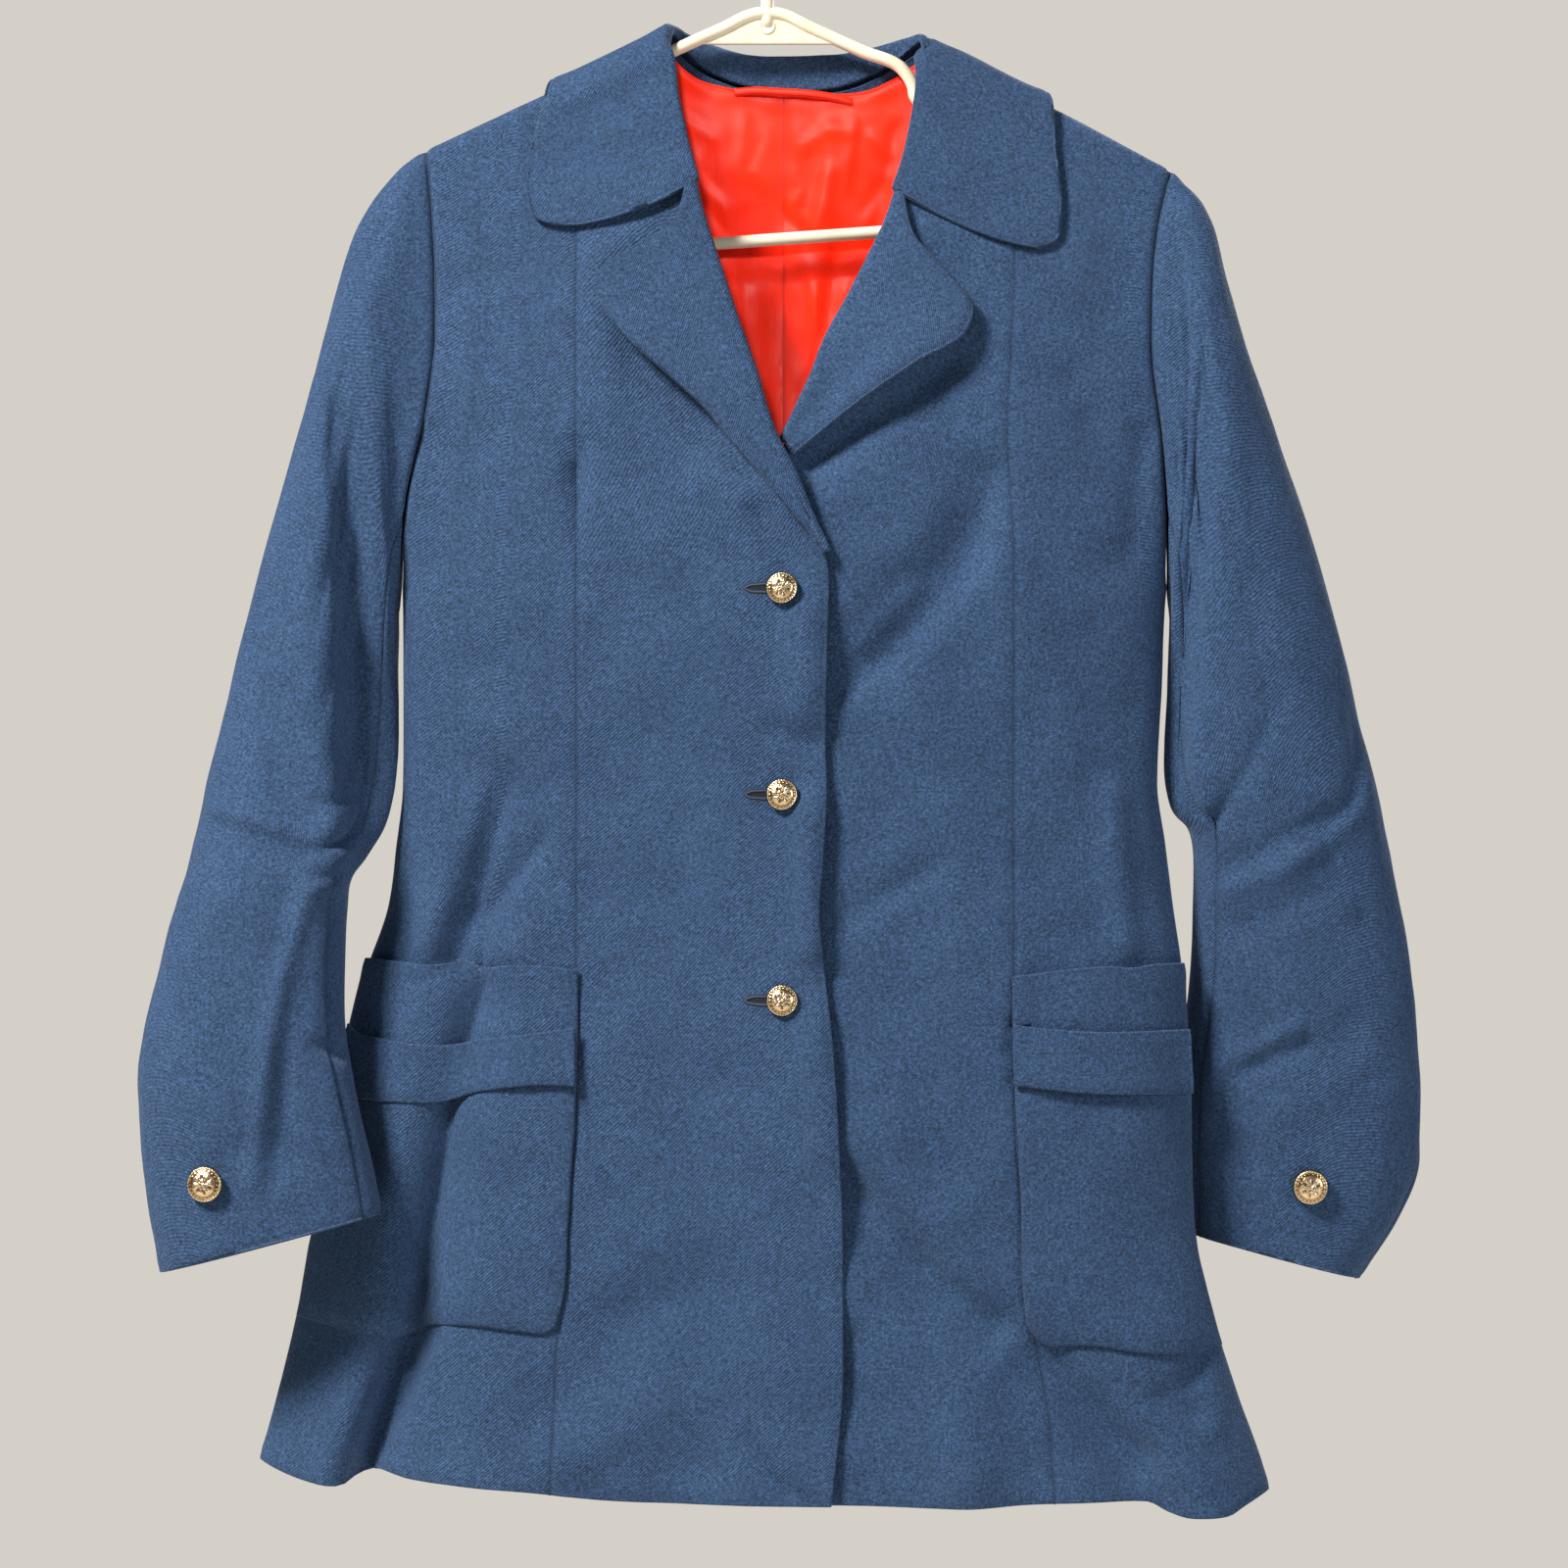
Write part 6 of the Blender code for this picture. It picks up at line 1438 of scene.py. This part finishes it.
class Skin:
    """A material being built. A source is a node and the name of its output."""

    def __init__(self, name, values):
        self.made = bpy.data.materials.new(name)
        self.made.use_nodes = True
        self.tree = self.made.node_tree
        self.shader = self.tree.nodes["Principled BSDF"]
        fill(self.shader, values)

    def add(self, kind, values=None, **settings):
        node = self.tree.nodes.new(kind)
        for key, value in settings.items():
            setattr(node, key, value)
        fill(node, values or {})
        return node

    def join(self, source, into, node=None):
        """Joins a source to an input of a node, or of the shader."""
        end = self.shader if node is None else node
        self.tree.links.new(source[0].outputs[source[1]], end.inputs[into])

    def mark(self, name):
        return self.add("ShaderNodeAttribute", attribute_name=name), "Fac"

    def noise(self, scale, detail=3.0, rough=0.55, stretch=(1.0, 1.0, 1.0)):
        """Noise in the object's own space."""
        place = self.add("ShaderNodeMapping", {"Scale": stretch})
        self.join((self.add("ShaderNodeTexCoord"), "Object"), "Vector", place)
        node = self.add("ShaderNodeTexNoise", {"Scale": scale, "Detail": detail, "Roughness": rough})
        self.join((place, "Vector"), "Vector", node)
        return node, "Fac"

    def ramp(self, source, *stops):
        """Colours at stops of a source."""
        node = self.add("ShaderNodeValToRGB")
        spots = node.color_ramp.elements
        for spot, (position, colour) in ((spots[0], stops[0]), (spots[1], stops[-1])):
            spot.position, spot.color = position, (*colour, 1.0)
        for position, colour in stops[1:-1]:
            spots.new(position).color = (*colour, 1.0)
        self.join(source, "Fac", node)
        return node, "Color"

    def greys(self, source, low, high):
        return self.ramp(source, (0.3, (low,) * 3), (0.7, (high,) * 3))

    def mix(self, factor, first, second, kind="MIX"):
        """A mix of two colours, each a source or a plain colour, by a source or a number."""
        node = self.add("ShaderNodeMix", data_type="RGBA", blend_type=kind)
        for socket, value in ((0, factor), (6, first), (7, second)):
            if isinstance(value, tuple) and isinstance(value[0], bpy.types.Node):
                self.join(value, socket, node)
            else:
                node.inputs[socket].default_value = (*value, 1.0) if socket else value
        return node, 2

    def bump(self, source, strength, distance):
        node = self.add("ShaderNodeBump", {"Strength": strength, "Distance": distance})
        self.join(source, "Height", node)
        self.join((node, "Normal"), "Normal")


def wool(name, base):
    """Fulled wool twill: heathered yarns, a faint diagonal, a soft nap, and painted shade in its seams, beside
    pressed edges and on rims.
    """
    skin = Skin(name, {
        "Roughness": 0.82, "Specular IOR Level": 0.25, "Sheen Weight": 0.22, "Sheen Roughness": 0.42,
        "Sheen Tint": (0.55, 0.68, 0.95, 1.0),
    })
    grain = skin.noise(640.0, 3.0, 0.62)
    fleck = skin.noise(1150.0, 2.0, 0.6, (0.6, 1.0, 1.0))
    tone = skin.ramp(grain, (0.34, scaled(base, 0.30)), (0.5, base), (0.68, scaled(base, 2.2)))
    flecked = skin.ramp(fleck, (0.32, scaled(base, 0.45)), (0.5, base), (0.70, scaled(base, 1.9, 0.01)))
    clouded = skin.ramp(skin.noise(34.0, 3.0, 0.5), (0.3, (0.90, 0.91, 0.93)), (0.7, (1.07, 1.06, 1.04)))
    shaded = skin.mix(1.0, skin.mix(0.5, tone, flecked), clouded, "MULTIPLY")
    # Painted shade: the seam attribute draws the wool towards 0.45 of its colour in seams, beside pressed
    # edges, along sewn edges and on the rims of the collar and lapels.
    skin.join(skin.mix(skin.mark("seam"), shaded, scaled(base, 0.45)), "Base Color")
    wave = skin.add("ShaderNodeTexWave", {"Scale": 330.0, "Distortion": 1.5, "Detail": 1.0},
                    wave_type="BANDS", bands_direction="DIAGONAL")
    skin.join((skin.add("ShaderNodeUVMap", uv_map="cloth"), 0), "Vector", wave)
    height = skin.add("ShaderNodeMath", operation="MULTIPLY_ADD")
    skin.join((wave, "Fac"), 0, height)
    height.inputs[1].default_value = 0.35
    skin.join(grain, 2, height)
    skin.bump((height, "Value"), 0.8, 0.0008)
    return skin.made


def satin(name, base):
    """Smooth lining satin with fine slubs and a long sheen, and painted shade at its seams and edges."""
    skin = Skin(name, {
        "Roughness": 0.40, "Specular IOR Level": 0.18, "Anisotropic": 0.45, "Sheen Weight": 0.04,
        "Sheen Tint": (1.0, 0.5, 0.4, 1.0),
    })
    slub = skin.noise(900.0, 2.0, 0.5, (1.0, 1.0, 0.06))
    tone = skin.ramp(slub, (0.3, scaled(base, 0.94)), (0.7, scaled(base, 1.04)))
    clouded = skin.ramp(skin.noise(60.0), (0.3, (0.90, 0.84, 0.84)), (0.7, (1.05, 1.05, 1.05)))
    shaded = skin.mix(1.0, tone, clouded, "MULTIPLY")
    # Painted shade: the seam attribute draws the satin towards a deep red at its seams and edges.
    skin.join(skin.mix(skin.mark("seam"), shaded, (0.16, 0.006, 0.008)), "Base Color")
    skin.bump(slub, 0.12, 0.0004)
    return skin.made


def gold(name):
    """Gilt metal, bright on its relief and brown in the hollows."""
    skin = Skin(name, {"Metallic": 1.0})
    worn = skin.noise(900.0, 1.0)
    low, middle, high = (0.0, (0.34, 0.20, 0.09)), (0.12, (0.74, 0.54, 0.30)), (0.45, (0.97, 0.82, 0.58))
    tone = skin.ramp(skin.mark("relief"), low, middle, high)
    patina = skin.ramp(worn, (0.35, (0.80, 0.74, 0.66)), (0.65, (1.0, 1.0, 1.0)))
    skin.join(skin.mix(1.0, tone, patina, "MULTIPLY"), "Base Color")
    skin.join(skin.greys(worn, 0.22, 0.38), "Roughness")
    skin.bump(worn, 0.15, 0.0002)
    return skin.made


def plastic(name):
    """Cream moulded plastic, a little scuffed."""
    skin = Skin(name, {"Subsurface Weight": 0.12, "Subsurface Radius": (0.004, 0.003, 0.002)})
    scuff = skin.noise(120.0, 4.0, 0.5)
    skin.join(skin.ramp(scuff, (0.3, (0.84, 0.73, 0.53)), (0.7, (0.91, 0.82, 0.64))), "Base Color")
    skin.join(skin.greys(scuff, 0.30, 0.46), "Roughness")
    skin.bump(scuff, 0.06, 0.0004)
    return skin.made


def lips_and_slot_shadow(name, light, painted_shade):
    """The lips of a buttonhole, and the near-black painted shadow of its slot and outline."""
    skin = Skin(name, {"Roughness": 0.8})
    yarn = skin.noise(1800.0, 2.0, 0.5)
    tone = skin.ramp(yarn, (0.3, scaled(light, 0.7)), (0.7, scaled(light, 1.25)))
    # Painted shadow: the seam attribute mixes the lips' colour to near-black in the slot and outline.
    skin.join(skin.mix(skin.mark("seam"), tone, painted_shade), "Base Color")
    skin.bump(yarn, 0.4, 0.0003)
    return skin.made


WOOL = wool("blue_wool_twill", (0.027, 0.0615, 0.134))
SATIN = satin("red_satin_lining", (0.95, 0.021, 0.003))
GOLD = gold("gilt_button_metal")
PLASTIC = plastic("cream_hanger_plastic")
# Blue lips, with near-black painted shadow for the slot and the outline.
HOLE_LIPS_AND_SHADOW = lips_and_slot_shadow("buttonhole_thread", (0.035, 0.07, 0.14), (0.004, 0.005, 0.009))


def aim(obj, target):
    ahead = mathutils.Vector(target) - obj.location
    obj.rotation_euler = ahead.to_track_quat("-Z", "Y").to_euler()


def area_light(name, place, target, size, power, colour):
    data = bpy.data.lights.new(name, "AREA")
    data.shape = "RECTANGLE"
    data.size = data.size_y = size
    data.energy = power
    data.color = colour
    obj = bpy.data.objects.new(name, data)
    bpy.context.scene.collection.objects.link(obj)
    obj.location = place
    aim(obj, target)
    return obj


def surroundings():
    """A pale floor well below the hem and a pale surround, which gives no light of its own to the blazer."""
    half, low = 4.0, -1.75
    mesh = bpy.data.meshes.new("floor")
    corners = [(-half, -half, low), (half, -half, low), (half, half, low), (-half, half, low)]
    mesh.from_pydata(corners, [], [(0, 1, 2, 3)])
    pale = {"Base Color": (0.70, 0.68, 0.64, 1.0), "Roughness": 0.9}
    floor = placed("floor", mesh, Skin("pale_floor", pale).made, smooth=False)
    rings, turns, far = 24, 48, 9.0
    spots, faces = [], []
    for i in range(rings + 1):
        rise = math.pi * (i / rings - 0.5)
        wide = far * math.cos(rise)
        for j in range(turns):
            turn = 2 * math.pi * j / turns
            spots.append((wide * math.cos(turn), wide * math.sin(turn), far * math.sin(rise)))
    for i in range(rings):
        for j in range(turns):
            a, b = i * turns + j, i * turns + (j + 1) % turns
            faces.append((a, a + turns, b + turns, b))
    mesh = bpy.data.meshes.new("surround")
    mesh.from_pydata(spots, [], faces)
    glow = {
        "Base Color": (0.0, 0.0, 0.0, 1.0), "Roughness": 1.0, "Specular IOR Level": 0.0,
        "Emission Color": (0.66, 0.63, 0.58, 1.0), "Emission Strength": 1.0,
    }
    dome = placed("surround", mesh, Skin("pale_surround", glow).made)
    for part in ("diffuse", "glossy", "transmission", "shadow", "volume_scatter"):
        setattr(dome, "visible_" + part, False)


def studio():
    """Soft light from the upper left of the view, and a weak one on the lining in the neck alone."""
    surroundings()
    world = bpy.data.worlds.new("soft_light")
    world.use_nodes = True
    fill(world.node_tree.nodes["Background"], {"Color": (0.92, 0.95, 1.0, 1.0), "Strength": 0.10})
    bpy.context.scene.world = world
    area_light("key", (-2.15, -1.95, 2.1), (0.0, 0.0, -0.45), 0.8, 292.0, (1.0, 0.97, 0.93))
    area_light("fill", (2.7, -1.7, 0.0), (0.0, 0.0, -0.5), 1.2, 34.0, (0.94, 0.97, 1.0))
    neck = area_light("neck", (-0.35, -2.4, 0.45), (0.0, 0.0, -0.27), 0.25, 44.0, (1.0, 0.95, 0.90))
    lit = bpy.data.collections.new("neck_light")
    for name in ("lining_panel_right", "lining_panel_left", "hanging_tape"):
        lit.objects.link(bpy.data.objects[name])
    neck.light_linking.receiver_collection = lit
    area_light("back", (1.6, 2.8, 1.2), (0.0, 0.0, -0.5), 2.0, 90.0, (1.0, 0.98, 0.95))


def camera():
    data = bpy.data.cameras.new("camera")
    data.sensor_width = 36.0
    data.lens = 108.17
    data.clip_start, data.clip_end = 0.05, 60.0
    obj = bpy.data.objects.new("camera", data)
    bpy.context.scene.collection.objects.link(obj)
    obj.location = (0.0, -2.5, -0.5164)
    obj.rotation_euler = (math.radians(90.0), 0.0, 0.0)
    bpy.context.scene.camera = obj


def build():
    for obj in list(bpy.data.objects):
        if obj.name in ("Cube", "Light", "Camera"):
            bpy.data.objects.remove(obj, do_unlink=True)
    hanger_piece()
    for side in ("right", "left"):
        front_pieces(side)
        back_piece(side)
        lining_piece(side)
        sleeve_pieces(side)
        lapel_piece(side)
        pocket_piece(side)
        pocket_strap(side)
    collar_piece()
    loop_piece()
    for index, height in enumerate(BUTTON_HEIGHTS, 1):
        buttonhole_piece(index, height)
        x, z = np.array(BUTTON_X), np.array(height)
        seat, normal = lay(lambda a, b: front_y("right", a, b), -1, x, z)
        back = seat + normal * (OUTER / 2 + 0.65)
        facing = np.array((0.03 * (index - 2), -1.0, 0.04)) + 0.4 * np.array((normal[0], 0.0, normal[2]))
        facing /= np.linalg.norm(facing)
        name, node = "front_button_gilt_%d" % index, "front_button_%d" % index
        button_piece(name, node, back, facing, BUTTON_RADIUS, 2.2, 0.35 * index)
    for side, x, z, spin in CUFF_BUTTONS:
        seat, normal = sleeve_spot(side, x, z)
        back = seat + normal * (OUTER / 2 + SURFACE_GAP + 1.4)
        name, node = "cuff_button_gilt_" + side, "cuff_button_" + side
        button_piece(name, node, back, normal, CUFF_BUTTON_RADIUS, 1.4, spin)
    studio()
    camera()
    bpy.context.scene.view_settings.view_transform = "Standard"


build()
bpy.context.view_layer.update()
